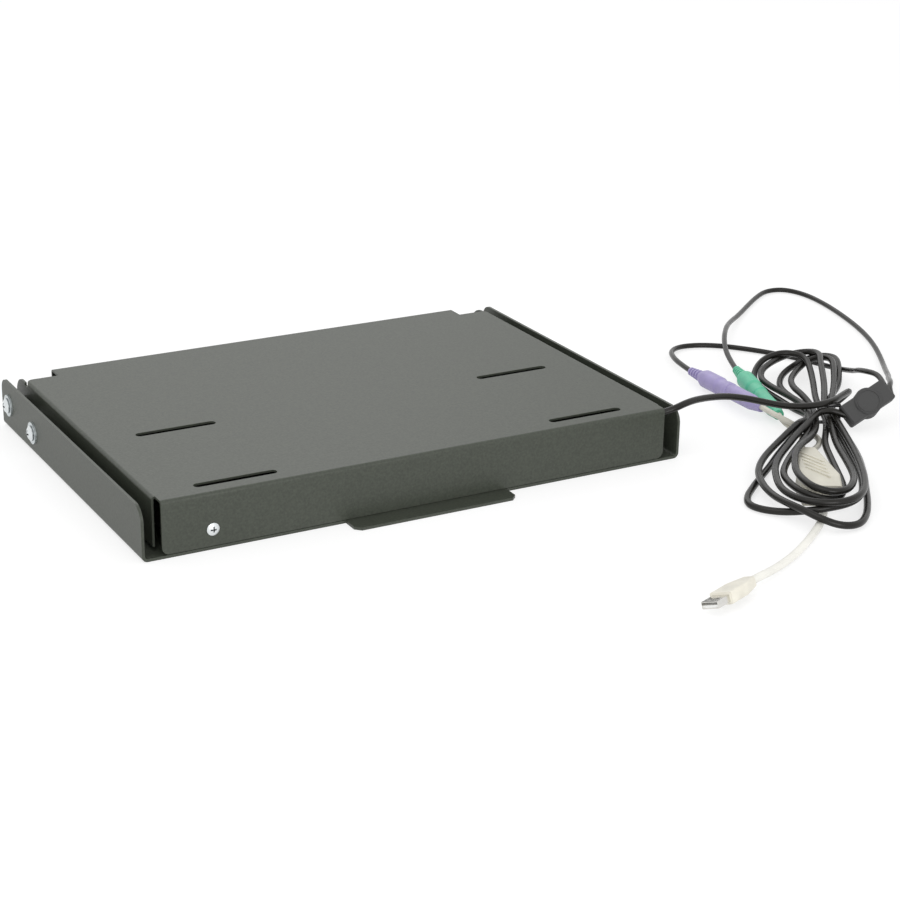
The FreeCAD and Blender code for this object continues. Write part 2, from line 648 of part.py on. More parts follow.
def catch_block():
    """The moulded block behind the front flange that holds the catch's magnet."""
    bottom = PAN_SHEET + MAGNET_CLEARANCE
    back = FRONT + BRACKET_SHEET
    half = CATCH_WIDTH / 2
    block = box((-half, back, bottom), (half, back + CATCH_DEPTH, bottom + CATCH_TALL))
    block = block.makeFillet(CATCH_EDGE, upright_edges(block))
    block.translate(Vector(CATCH_X, 0, 0))
    screw = rod(CATCH_SCREW_DIAMETER, (CATCH_X, back - 1, CATCH_HEIGHT),
                (CATCH_X, back + CATCH_SCREW_LENGTH, CATCH_HEIGHT))
    return block.cut([screw, catch_magnet()])


def catch_magnet():
    """The bar magnet let into the block's underside, just above the pan's floor."""
    bottom = PAN_SHEET + MAGNET_CLEARANCE
    middle = FRONT + BRACKET_SHEET + CATCH_DEPTH / 2
    low = (CATCH_X - MAGNET_WIDTH / 2, middle - MAGNET_DEPTH / 2, bottom)
    high = (CATCH_X + MAGNET_WIDTH / 2, middle + MAGNET_DEPTH / 2, bottom + MAGNET_THICKNESS)
    return box(low, high)


def catch_screw():
    """The screw through the front flange that holds the block."""
    head = pan_head(CATCH_HEAD_DIAMETER, CATCH_HEAD_HEIGHT, HEAD_EDGE / 2)
    sizes = [CATCH_RECESS * size for size in (RECESS_SPAN, RECESS_BLADE, RECESS_DEPTH, RECESS_TIP)]
    recess = cross_recess(*sizes)
    recess.translate(Vector(CATCH_HEAD_HEIGHT, 0, 0))
    shank = rod(CATCH_SCREW_DIAMETER, (0, 0, 0), (-BRACKET_SHEET - CATCH_SCREW_LENGTH, 0, 0))
    screw = head.cut(recess).fuse(shank).removeSplitter()
    return aimed(screw, (CATCH_X, FRONT, CATCH_HEIGHT), -90)


# Keyboard

def on_slope(shape):
    """Lays a shape, built flat on the keyboard's top at its front edge, on the sloping top."""
    shape = shape.copy()
    shape.rotate(Vector(0, 0, 0), Vector(1, 0, 0), SLOPE)
    shape.translate(Vector(0, KEYBOARD_FRONT, BASE_TOP + TOP_FRONT_HEIGHT))
    return shape


def keyboard_base():
    """The lower half of the keyboard's case: an open tray."""
    half = KEYBOARD_WIDTH / 2
    outer = box((-half, KEYBOARD_FRONT, BASE_BOTTOM), (half, KEYBOARD_REAR, BASE_TOP))
    outer = outer.makeFillet(KEYBOARD_CORNER, upright_edges(outer))
    inner = box((-half + BASE_WALL, KEYBOARD_FRONT + BASE_WALL, BASE_BOTTOM + BASE_WALL),
                (half - BASE_WALL, KEYBOARD_REAR - BASE_WALL, BASE_TOP + 1))
    inner = inner.makeFillet(KEYBOARD_CORNER - BASE_WALL, upright_edges(inner))
    return outer.cut(inner)


def wedge(inset, drop, foot):
    """The upper case's wedge above the height foot, drawn in from its sides and lowered from its top."""
    half = KEYBOARD_WIDTH / 2 - inset
    front = KEYBOARD_FRONT + inset
    rear = KEYBOARD_REAR - inset
    rise = math.tan(math.radians(SLOPE)) * inset
    outline = [Vector(-half, front, foot), Vector(-half, rear, foot),
               Vector(-half, rear, BASE_TOP + TOP_REAR_HEIGHT - rise - drop),
               Vector(-half, front, BASE_TOP + TOP_FRONT_HEIGHT + rise - drop)]
    solid = prism(outline, [0, 0, 0, 0], Vector(2 * half, 0, 0))
    return solid.makeFillet(KEYBOARD_CORNER - inset, upright_edges(solid))


def keyboard_top():
    """The upper half of the case, hollow, with the key well and the touchpad's recesses."""
    outer = wedge(0.0, 0.0, BASE_TOP)
    rim = [edge for edge in outer.Edges if edge.BoundBox.ZMin > BASE_TOP + TOP_FRONT_HEIGHT - 0.01]
    shell = outer.makeFillet(TOP_EDGE_ROUND, rim).cut(wedge(BASE_WALL, TOP_SKIN, BASE_TOP - 1))
    depth = TOP_SKIN + 2
    well = box((-well_half(), keys_front() - WELL_MARGIN, -depth),
               (well_half(), keys_rear() + WELL_MARGIN, depth))
    cutters = [on_slope(well), on_slope(touchpad_solid(depth))]
    cutters += [on_slope(button_solid(side, GUIDE_CLEARANCE, depth, depth)) for side in (-1, 1)]
    cutters += [on_slope(lens_solid(i, depth)) for i in range(LENS_COUNT)]
    return shell.cut(cutters)


def row_depths():
    """The depth of each row of keys from the front row to the rear one."""
    return [KEY_PITCH] * 5 + [KEY_SMALL_DEPTH]


def keys_rear():
    """The rear edge of the keys, measured along the slope from the keyboard's front edge."""
    return KEYBOARD_DEPTH / math.cos(math.radians(SLOPE)) - KEYS_REAR_MARGIN


def keys_front():
    """The front edge of the keys along the slope."""
    return keys_rear() - sum(row_depths())


def row_front(row):
    """The front edge of one row along the slope, counted from the front."""
    return keys_front() + sum(row_depths()[:row])


def well_half():
    """Half the key well's width."""
    return ROW_UNITS * KEY_PITCH / 2 + WELL_MARGIN


def key_cap(x, y, width, depth):
    """One tapered key cap, whose pitch cell has its front left corner at (x, y)."""
    margin = KEY_GAP / 2
    rings = []
    for height, draw in ((KEY_LIFT, 0.0), (KEY_LIFT + KEY_CAP, KEY_TAPER)):
        low_x = x + margin + draw
        high_x = x + width - margin - draw
        low_y = y + margin + draw * KEY_FRONT_SHARE
        high_y = y + depth - margin - draw * KEY_REAR_SHARE
        corners = [Vector(low_x, low_y, height), Vector(high_x, low_y, height),
                   Vector(high_x, high_y, height), Vector(low_x, high_y, height)]
        rings.append(Part.makePolygon(corners + [corners[0]]))
    return Part.makeLoft(rings, True, True)


def key_stem(x, y, width, depth, bottom):
    """The post that carries one key cap."""
    middle_x = x + width / 2
    middle_y = y + depth / 2
    half = STEM_SIZE / 2
    return box((middle_x - half, middle_y - half, bottom), (middle_x + half, middle_y + half, KEY_LIFT))


def key_run(row, units, skipped=0.0):
    """A run of keys in one row, as separate solids that stand on the key plate."""
    x = -ROW_UNITS * KEY_PITCH / 2 + skipped * KEY_PITCH
    y = row_front(row)
    depth = row_depths()[row]
    keys = []
    for unit in units:
        width = unit * KEY_PITCH
        keys.append(key_cap(x, y, width, depth).fuse(key_stem(x, y, width, depth, -TOP_SKIN)))
        x += width
    return keys


def key_row(row, units):
    """A whole row of keys on the slope."""
    return on_slope(Part.makeCompound(key_run(row, units)))


def bottom_row():
    """The front row's keys on both sides of the space bar."""
    after_space = sum(BOTTOM_ROW_LEFT) + SPACE_UNITS
    keys = key_run(0, BOTTOM_ROW_LEFT) + key_run(0, BOTTOM_ROW_RIGHT, after_space)
    return on_slope(Part.makeCompound(keys))


def space_bar():
    """The space bar, whose stem slides in a hole of the key plate."""
    x = -ROW_UNITS * KEY_PITCH / 2 + sum(BOTTOM_ROW_LEFT) * KEY_PITCH
    width = SPACE_UNITS * KEY_PITCH
    cap = key_cap(x, row_front(0), width, KEY_PITCH)
    stem = key_stem(x, row_front(0), width, KEY_PITCH, -TOP_SKIN - SPACE_STEM_REACH)
    return on_slope(cap.fuse(stem).removeSplitter())


def key_plate():
    """The plate under the key well that carries the keys."""
    half = well_half() + PLATE_LAP
    low = (-half, keys_front() - WELL_MARGIN - PLATE_LAP, -TOP_SKIN - PLATE_THICKNESS)
    high = (half, keys_rear() + WELL_MARGIN + PLATE_LAP, -TOP_SKIN)
    x = -ROW_UNITS * KEY_PITCH / 2 + (sum(BOTTOM_ROW_LEFT) + SPACE_UNITS / 2) * KEY_PITCH
    y = row_front(0) + KEY_PITCH / 2
    reach = STEM_SIZE / 2 + GUIDE_CLEARANCE
    hole = box((x - reach, y - reach, low[2] - 1), (x + reach, y + reach, high[2] + 1))
    return on_slope(box(low, high).cut(hole))


def touchpad_solid(proud):
    """The touchpad's plate, or the recess that it lies in."""
    half = TOUCHPAD_WIDTH / 2
    low = (-half, TOUCHPAD_FROM_FRONT, TOUCHPAD_PROUD - TOUCHPAD_THICKNESS)
    high = (half, TOUCHPAD_FROM_FRONT + TOUCHPAD_DEPTH, proud)
    return box(low, high)


def button_solid(side, grow, proud, deep):
    """One touchpad button, or the opening that it slides in when grown and made taller."""
    outer = TOUCHPAD_WIDTH / 2 + grow
    inner = BUTTON_SPLIT / 2 - grow
    low = (min(side * inner, side * outer), BUTTON_FROM_FRONT - grow, -deep)
    high = (max(side * inner, side * outer), BUTTON_FROM_FRONT + BUTTON_DEPTH + grow, proud)
    return box(low, high)


def lens_solid(index, proud):
    """One indicator lens in the strip behind the keys, or its hole."""
    x = well_half() - LENS_SPACING * (index + 1)
    y = keys_rear() + (KEYS_REAR_MARGIN + WELL_MARGIN) / 2
    return Part.makeCylinder(LENS_DIAMETER / 2, TOP_SKIN + proud, Vector(x, y, -TOP_SKIN))


def holding_strips():
    """The two adhesive strips that hold the keyboard on the pan's floor."""
    half = STRIP_LENGTH / 2
    strips = []
    for y in (KEYBOARD_FRONT + STRIP_INSET, KEYBOARD_REAR - STRIP_INSET - STRIP_WIDTH):
        strips.append(box((-half, y, PAN_SHEET), (half, y + STRIP_WIDTH, BASE_BOTTOM)))
    return Part.makeCompound(strips)


def lead_relief():
    """The tapered sleeve where the lead leaves the keyboard's rear."""
    start = Vector(RELIEF_OFFSET, KEYBOARD_REAR, BASE_TOP)
    run = Vector(*relief_tip()) - start
    return Part.makeCone(RELIEF_ROOT / 2, RELIEF_TIP / 2, run.Length, start, run)


def relief_tip():
    """Where the lead leaves its sleeve."""
    return (RELIEF_OFFSET + RELIEF_SWAY, KEYBOARD_REAR + RELIEF_LENGTH, BASE_TOP)


# Free leads

def lead_tube(route, diameter, name=""):
    """A round lead along a route of straight runs joined by wide arcs; prints the figures of a named one."""
    points = [Vector(*point) for point in route]
    radii = [0.0]
    for before, corner, after in zip(points, points[1:], points[2:]):
        shorter = min((before - corner).Length, (after - corner).Length)
        half_turn = (math.pi - (before - corner).getAngle(after - corner)) / 2
        radii.append(BEND_SHARE * shorter / math.tan(half_turn))
    radii.append(0.0)
    path = rounded_wire(points, radii, closed=False)
    circle = Part.Wire(Part.Circle(points[0], points[1] - points[0], diameter / 2).toShape())
    tube = path.makePipeShell([circle], True, True)
    if name:
        expected = path.Length * math.pi * diameter * diameter / 4
        print(f"{name}: {path.Length:.0f} mm long, tightest bend {min(radii[1:-1]):.1f} mm, "
              f"volume {tube.Volume / expected:.4f} of its section times its length")
    return tube


def round_plug(start, end):
    """One round plug's moulding: a ribbed sleeve, a thick grip and a nose, from its tail towards its socket."""
    grip = GRIP_DIAMETER / 2
    nose = NOSE_DIAMETER / 2
    rib = PLUG_RELIEF / (2 * PLUG_RIBS)
    profile = [(0, 0)]
    for i in range(PLUG_RIBS):
        share = (i + 0.5) / PLUG_RIBS
        rib_radius = PLUG_RELIEF_TIP / 2 + share * (nose - PLUG_RIB_STEP - PLUG_RELIEF_TIP / 2)
        groove_radius = max(rib_radius - PLUG_RIB_DEPTH, TAIL_DIAMETER / 2 + PLUG_RIB_WALL)
        profile += [(2 * i * rib, rib_radius), ((2 * i + 1) * rib, rib_radius),
                    ((2 * i + 1) * rib, groove_radius), ((2 * i + 2) * rib, groove_radius)]
    grip_end = PLUG_RELIEF + GRIP_LENGTH
    plug_end = PLUG_RELIEF + PLUG_BODY
    profile += [(PLUG_RELIEF, nose), (PLUG_RELIEF + GRIP_SHOULDER, grip), (grip_end - GRIP_SHOULDER, grip),
                (grip_end, nose), (plug_end, nose), (plug_end, 0)]
    return turned(profile, start, end - start)


def round_socket(start, end):
    """The adapter's round socket that one plug sits in, with a thicker rim and a tapered tail."""
    rim = SOCKET_DIAMETER / 2
    body = rim - SOCKET_RIM_STEP
    begin = PLUG_RELIEF + PLUG_BODY
    rim_end = begin + SOCKET_RIM
    profile = [(begin, 0), (begin, rim), (rim_end, rim), (rim_end + SOCKET_RIM_STEP, body),
               (CONNECTOR_LENGTH - SOCKET_TAPER, body), (CONNECTOR_LENGTH, SOCKET_TIP / 2),
               (CONNECTOR_LENGTH, 0)]
    return turned(profile, start, end - start)


def connector_ends(start, aim, rise):
    """The tail end of a plug that lies on the floor, and the far end of the socket that it sits in."""
    tail_end = Vector(*start, PLUG_AXIS_HEIGHT)
    direction = Vector(*aim, PLUG_AXIS_HEIGHT + rise) - tail_end
    return tail_end, tail_end + direction.normalize() * CONNECTOR_LENGTH


def purple_ends():
    """The two ends of the purple plug and socket, whose far end leans on the green socket."""
    return connector_ends(PURPLE_START, PURPLE_AIM, PURPLE_RISE)


def green_ends():
    """The two ends of the green plug and socket, which lie flat."""
    return connector_ends(GREEN_START, GREEN_AIM, 0.0)


def splitter_block(room=0.0):
    """The block with a round boss that splits the lead in two, or the room round it that the hank leaves."""
    half_width = SPLITTER_WIDTH / 2 + room
    half_height = SPLITTER_THICKNESS / 2 + room
    bar = box((-room, -half_width, -half_height), (SPLITTER_LENGTH + room, half_width, half_height))
    bar = bar.makeChamfer(SPLITTER_EDGE, bar.Edges)
    tall = SPLITTER_BOSS_THICKNESS + 2 * room
    boss = Part.makeCylinder(SPLITTER_BOSS / 2 + room, tall, Vector(SPLITTER_LENGTH / 2, 0, -tall / 2))
    boss = boss.makeChamfer(SPLITTER_BOSS_EDGE, [edge for edge in boss.Edges if len(edge.Vertexes) == 1])
    return on_splitter(bar.fuse(boss).removeSplitter())


def on_splitter(shape):
    """Moves a shape built along +X from the splitter's start to where the splitter lies."""
    return aimed(shape, SPLITTER_START, SPLITTER_YAW, SPLITTER_PITCH, SPLITTER_ROLL)


def tail_start(side):
    """Where one tail leaves the splitter's end face."""
    return on_splitter(Part.Vertex(SPLITTER_LENGTH, side * TAIL_SPACING / 2, 0)).Point


def adapter_body():
    """The adapter's tapered housing, narrow where the two short leads enter."""
    length = adapter_length()
    sections = ((0, ADAPTER_NARROW, ADAPTER_THIN), (length * ADAPTER_WIDE_AT, ADAPTER_WIDE, ADAPTER_THICK),
                (length, ADAPTER_WIDE * ADAPTER_END_SHARE, ADAPTER_THICK))
    return on_adapter(tapered(sections, ADAPTER_EDGE))


def tapered(sections, edge):
    """A moulding along +X through rounded oblongs, each given as its place, width and thickness."""
    rings = []
    for along, width, thickness in sections:
        corners = [Vector(along, -width / 2, -thickness / 2), Vector(along, width / 2, -thickness / 2),
                   Vector(along, width / 2, thickness / 2), Vector(along, -width / 2, thickness / 2)]
        rings.append(rounded_wire(corners, [edge] * 4))
    return Part.makeLoft(rings, True, True)


def adapter_length():
    """The adapter housing's length."""
    return (Vector(*ADAPTER_AXIS[1], 0) - Vector(*ADAPTER_AXIS[0], 0)).Length


def on_adapter(shape):
    """Moves a shape built along +X from the adapter's narrow end to where the adapter lies."""
    start, end = ADAPTER_AXIS
    yaw = math.degrees(math.atan2(end[1] - start[1], end[0] - start[0]))
    return aimed(shape, (*start, ADAPTER_HEIGHT), yaw)


def adapter_lead_end(side):
    """Where one short lead enters the adapter's narrow end."""
    return on_adapter(Part.Vertex(0, side * ADAPTER_LEAD_SPACING / 2, 0)).Point


def usb_frame(shape):
    """Moves a USB piece, built along +X from the moulding's rear, to where the plug lies."""
    yaw = math.degrees(math.atan2(USB_AXIS[1][1] - USB_AXIS[0][1], USB_AXIS[1][0] - USB_AXIS[0][0]))
    return aimed(shape, (*USB_AXIS[0], USB_HEIGHT), yaw, 0.0, USB_ROLL)


def usb_moulding():
    """The USB plug's moulding, drawn in towards its lead."""
    sections = ((0, USB_BODY_REAR, USB_REAR_THICKNESS),
                (USB_BODY_LENGTH * USB_WAIST_AT, USB_BODY_WIDTH, USB_BODY_THICKNESS),
                (USB_BODY_LENGTH, USB_BODY_WIDTH, USB_BODY_THICKNESS))
    return usb_frame(tapered(sections, USB_EDGE))


def usb_shell():
    """The USB plug's folded metal shell, open at its end, with its two windows."""
    half = USB_SHELL_WIDTH / 2
    tall = USB_SHELL_HEIGHT / 2
    wall = USB_SHELL_WALL
    start = USB_BODY_LENGTH
    end = start + USB_SHELL_LENGTH
    shell = box((start, -half, -tall), (end, half, tall))
    shell = shell.cut(box((start - 1, -half + wall, -tall + wall), (end + 1, half - wall, tall - wall)))
    for side in (-1, 1):
        middle = side * USB_WINDOW_SPACING / 2
        window = start + USB_WINDOW_SETBACK
        reach = USB_WINDOW / 2
        shell = shell.cut(box((window, middle - reach, 0), (window + USB_WINDOW, middle + reach, tall + 1)))
    return usb_frame(shell)


def usb_tongue():
    """The insulating tongue inside the USB shell."""
    half = USB_SHELL_WIDTH / 2 - USB_SHELL_WALL
    low = -USB_SHELL_HEIGHT / 2 + USB_SHELL_WALL
    end = USB_BODY_LENGTH + USB_SHELL_LENGTH - USB_TONGUE_SETBACK
    return usb_frame(box((USB_BODY_LENGTH, -half, low), (end, half, low + USB_TONGUE_HEIGHT)))


# Hank of the lead

def lobe_outline(corners, shrink):
    """The closed outline round three circles, each drawn in by shrink."""
    centres = [Vector(x, y, HANK_FLOOR) for (x, y), radius in corners]
    radii = [radius - shrink for place, radius in corners]
    edges = []
    count = len(centres)
    tangents = []
    for i in range(count):
        j = (i + 1) % count
        run = centres[j] - centres[i]
        lean = math.asin((radii[i] - radii[j]) / run.Length)
        outward = FreeCAD.Rotation(Vector(0, 0, 1), 90 - math.degrees(lean)).multVec(run.normalize())
        tangents.append((centres[i] + outward * radii[i], centres[j] + outward * radii[j], outward))
    for i in range(count):
        start, end, outward = tangents[i]
        following = tangents[(i + 1) % count]
        edges.append(Part.LineSegment(start, end).toShape())
        centre = centres[(i + 1) % count]
        middle = centre + (outward + following[2]).normalize() * radii[(i + 1) % count]
        edges.append(Part.Arc(end, middle, following[0]).toShape())
    return Part.Wire(edges)


def lobe(corners):
    """One end of the hank: a flat band of turns round an opening."""
    outer = Part.Face(lobe_outline(corners, 0.0)).extrude(Vector(0, 0, HANK_HEIGHT))
    smallest = min(radius for place, radius in corners)
    inner = Part.Face(lobe_outline(corners, min(HANK_BAND, smallest - 1.0))).extrude(Vector(0, 0, HANK_HEIGHT))
    return outer.cut(inner)


def neck_box(grow_side, grow_height, length):
    """A bar along the hank's waist, between the two lobes."""
    start = Vector(*NEAR_LOBE[0][0], 0)
    run = Vector(*FAR_LOBE[0][0], 0) - start
    half = NECK_WIDTH / 2 + grow_side
    bottom = HANK_FLOOR + NECK_LIFT - grow_height
    top = HANK_FLOOR + HANK_HEIGHT + grow_height
    bar = box(((run.Length - length) / 2, -half, bottom), ((run.Length + length) / 2, half, top))
    return aimed(bar, (start.x, start.y, 0), math.degrees(math.atan2(run.y, run.x)))


def hank_stub():
    """The short length of lead that runs from the hank into the splitter."""
    return on_splitter(rod(LEAD_DIAMETER, (-HANK_STUB, 0, 0), (0, 0, 0)))


def lead_hank(grooves):
    """The lead's hank: two lobes joined by a waist, with room for the leads that pass under it."""
    run = Vector(*FAR_LOBE[0][0], 0) - Vector(*NEAR_LOBE[0][0], 0)
    hank = lobe(NEAR_LOBE).fuse([lobe(FAR_LOBE), neck_box(0, 0, run.Length)])
    return hank.cut(grooves + [splitter_block(SPLITTER_ROOM)]).fuse(hank_stub()).removeSplitter()


def hank_tie():
    """The tie round the hank's waist."""
    outer = neck_box(TIE_CLEARANCE + TIE_THICKNESS, TIE_CLEARANCE + TIE_THICKNESS, TIE_WIDTH)
    return outer.cut(neck_box(TIE_CLEARANCE, TIE_CLEARANCE, TIE_WIDTH + 2))


def lead_routes():
    """Each lead's whole route, from the piece that it leaves to the piece that it enters, and its diameter."""
    purple_tail, purple_end = purple_ends()
    green_tail, green_end = green_ends()
    usb_start = on_adapter(Part.Vertex(adapter_length(), 0, -USB_EXIT_DROP)).Point
    usb_end = (*USB_AXIS[0], USB_HEIGHT)
    first_lead = [purple_end] + FIRST_ADAPTER_ROUTE + [adapter_lead_end(1)]
    second_lead = [green_end] + SECOND_ADAPTER_ROUTE + [adapter_lead_end(-1)]
    return {
        "keyboard_lead": ([relief_tip()] + LEAD_ROUTE, LEAD_DIAMETER),
        "keyboard_tail": ([tail_start(1)] + KEYBOARD_TAIL_ROUTE + [purple_tail], TAIL_DIAMETER),
        "mouse_tail": ([tail_start(-1)] + MOUSE_TAIL_ROUTE + [green_tail], TAIL_DIAMETER),
        "adapter_lead_first": (first_lead, ADAPTER_LEAD_DIAMETER),
        "adapter_lead_second": (second_lead, ADAPTER_LEAD_DIAMETER),
        "usb_lead": ([usb_start] + USB_ROUTE + [usb_end], USB_LEAD_DIAMETER),
    }


def nodes():
    """Every node's name and shape."""
    routes = lead_routes()
    grooves = []
    for name in ("adapter_lead_first", "adapter_lead_second", "usb_lead"):
        route, diameter = routes[name]
        grooves.append(lead_tube(route, diameter + 2 * GROOVE_CLEARANCE))
    shapes = {
        "tray_pan": tray_pan(),
        "wall_bracket": wall_bracket(),
        "pivot_bolts": both_sides(bolt(PIVOT_Y, PIVOT_HEIGHT)),
        "stop_bolts": both_sides(bolt(STOP_Y, STOP_HEIGHT)),
        "head_washers": on_each_bolt(head_washer),
        "spacer_bushes": on_each_bolt(bush),
        "inner_washers": on_each_bolt(inner_washer),
        "lock_nuts": on_each_bolt(lock_nut),
        "catch_screw": catch_screw(),
        "catch_block": catch_block(),
        "catch_magnet": catch_magnet(),
        "keyboard_base": keyboard_base(),
        "keyboard_top": keyboard_top(),
        "key_plate": key_plate(),
        "keys_bottom_row": bottom_row(),
        "keys_lower_row": key_row(1, LOWER_ROW),
        "keys_home_row": key_row(2, HOME_ROW),
        "keys_upper_row": key_row(3, UPPER_ROW),
        "keys_number_row": key_row(4, NUMBER_ROW),
        "keys_function_row": key_row(5, FUNCTION_ROW),
        "space_bar": space_bar(),
        "touchpad": on_slope(touchpad_solid(TOUCHPAD_PROUD)),
        "touch_button_left": on_slope(button_solid(-1, 0.0, BUTTON_PROUD, TOP_SKIN)),
        "touch_button_right": on_slope(button_solid(1, 0.0, BUTTON_PROUD, TOP_SKIN)),
        "indicator_lenses": on_slope(Part.makeCompound([lens_solid(i, LENS_PROUD) for i in range(LENS_COUNT)])),
        "holding_strips": holding_strips(),
        "lead_relief": lead_relief(),
        "lead_hank": lead_hank(grooves),
        "hank_tie": hank_tie(),
        "splitter_block": splitter_block(),
        "keyboard_plug": round_plug(*purple_ends()),
        "mouse_plug": round_plug(*green_ends()),
        "keyboard_socket": round_socket(*purple_ends()),
        "mouse_socket": round_socket(*green_ends()),
        "adapter_body": adapter_body(),
        "usb_moulding": usb_moulding(),
        "usb_shell": usb_shell(),
        "usb_tongue": usb_tongue(),
    }
    for name, (route, diameter) in routes.items():
        shapes[name] = lead_tube(route, diameter, name)
    return shapes


if __name__ == "__main__":
    for node, shape in nodes().items():
        if not shape.isValid():
            print(node, "is not valid")
        shape.exportStep(f"parts/{node}.step")
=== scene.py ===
"""Visual model of a fold-away keyboard tray with its hanked lead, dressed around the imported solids."""
from __future__ import annotations

import logging
import math
from dataclasses import dataclass, field
from enum import Enum

import bmesh
import bpy
from mathutils import Matrix, Vector


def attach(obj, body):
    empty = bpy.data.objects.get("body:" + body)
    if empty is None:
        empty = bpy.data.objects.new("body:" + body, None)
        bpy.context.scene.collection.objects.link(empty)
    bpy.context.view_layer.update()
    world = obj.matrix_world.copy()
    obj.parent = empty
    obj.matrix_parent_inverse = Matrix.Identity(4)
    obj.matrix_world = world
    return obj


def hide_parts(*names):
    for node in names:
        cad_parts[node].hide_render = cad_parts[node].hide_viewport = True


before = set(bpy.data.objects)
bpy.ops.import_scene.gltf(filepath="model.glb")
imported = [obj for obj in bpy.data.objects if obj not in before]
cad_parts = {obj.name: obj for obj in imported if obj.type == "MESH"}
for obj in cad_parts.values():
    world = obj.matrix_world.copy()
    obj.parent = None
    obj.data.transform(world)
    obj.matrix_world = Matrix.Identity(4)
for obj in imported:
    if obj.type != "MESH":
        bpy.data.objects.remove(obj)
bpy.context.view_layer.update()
MM = 0.001
TRAY_BODY = "tray"

Point = tuple[float, float, float]
Colour = tuple[float, float, float]
Socket = bpy.types.NodeSocket

log = logging.getLogger("keyboard_tray")


class FarEnd(Enum):
    """What a lead ends in."""

    PLUG = "plug"
    FITTING = "fitting"


class Lay(Enum):
    """How a lead lies."""

    LOOSE = "loose"
    COILED = "coiled"


# Finishes

NOISE_MIDDLE = 0.5
NOISE_SWING = 0.2
CLOUD_DETAIL = 4.0
GLOSS_DETAIL = 3.0
SPECK_DETAIL = 3.0
DRAWN_DETAIL = 3.0
GRAIN_DETAIL = 2.0
GLOSS_SHARE = 0.6


class NodeSketch:
    """A material with one principled shader, and short ways to add nodes that feed it."""

    def __init__(self, name: str) -> None:
        """Starts an empty material of the given name."""
        self.material = bpy.data.materials.new(name)
        self.material.use_nodes = True
        self.tree = self.material.node_tree
        self.tree.nodes.clear()
        self.shader = self.add("ShaderNodeBsdfPrincipled")
        output = self.add("ShaderNodeOutputMaterial")
        self.join(self.shader.outputs["BSDF"], output.inputs["Surface"])
        self.place = self.add("ShaderNodeTexCoord").outputs["Object"]

    def add(self, kind: str, **settings: object) -> bpy.types.Node:
        """Adds one node.

        Args:
            kind: Blender's name of the node type.
            settings: Attributes of the node to set.

        Returns:
            The new node.
        """
        node = self.tree.nodes.new(kind)
        for name, value in settings.items():
            setattr(node, name, value)
        return node

    def join(self, source: Socket, target: Socket) -> None:
        """Links two sockets."""
        self.tree.links.new(source, target)

    def stretched(self, stretch: Point) -> Socket:
        """Object coordinates, stretched along each axis."""
        mapping = self.add("ShaderNodeMapping")
        mapping.inputs["Scale"].default_value = stretch
        self.join(self.place, mapping.inputs["Vector"])
        return mapping.outputs["Vector"]

    def noise(self, size: float, detail: float, place: Socket | None = None) -> Socket:
        """A cloudy pattern.

        Args:
            size: How large the pattern's lumps are, in metres.
            detail: How much finer pattern lies on it.
            place: Coordinates to use in place of the object's own.

        Returns:
            The pattern's value, about 0.5 on average.
        """
        node = self.add("ShaderNodeTexNoise")
        node.inputs["Scale"].default_value = 1.0 / size
        node.inputs["Detail"].default_value = detail
        self.join(place or self.place, node.inputs["Vector"])
        return node.outputs["Fac"]

    def ranged(self, value: Socket, low: float, high: float) -> Socket:
        """Maps a pattern onto a range.

        Args:
            value: The pattern, about 0.5 on average.
            low: What the pattern's dark end becomes.
            high: What its light end becomes.

        Returns:
            The mapped value.
        """
        node = self.add("ShaderNodeMapRange")
        node.inputs["From Min"].default_value = NOISE_MIDDLE - NOISE_SWING
        node.inputs["From Max"].default_value = NOISE_MIDDLE + NOISE_SWING
        node.inputs["To Min"].default_value = low
        node.inputs["To Max"].default_value = high
        self.join(value, node.inputs["Value"])
        return node.outputs["Result"]

    def blend(self, share: Socket, dark: Colour, light: Colour) -> Socket:
        """A colour between two, by a pattern that runs from 0 to 1."""
        node = self.add("ShaderNodeMix", data_type="RGBA")
        colour_inputs = [socket for socket in node.inputs if socket.type == "RGBA"]
        colour_inputs[0].default_value = (*dark, 1.0)
        colour_inputs[1].default_value = (*light, 1.0)
        self.join(share, node.inputs["Factor"])
        return next(socket for socket in node.outputs if socket.type == "RGBA")

    def dent(self, height: Socket, depth: float) -> None:
        """Bumps the surface by a pattern, up to a depth in metres."""
        node = self.add("ShaderNodeBump")
        node.inputs["Distance"].default_value = depth
        node.inputs["Strength"].default_value = 1.0
        self.join(height, node.inputs["Height"])
        self.join(node.outputs["Normal"], self.shader.inputs["Normal"])

    def set(self, **values: float) -> None:
        """Sets the shader's own sockets, named with underscores for spaces."""
        for name, value in values.items():
            self.shader.inputs[name.replace("_", " ")].default_value = value


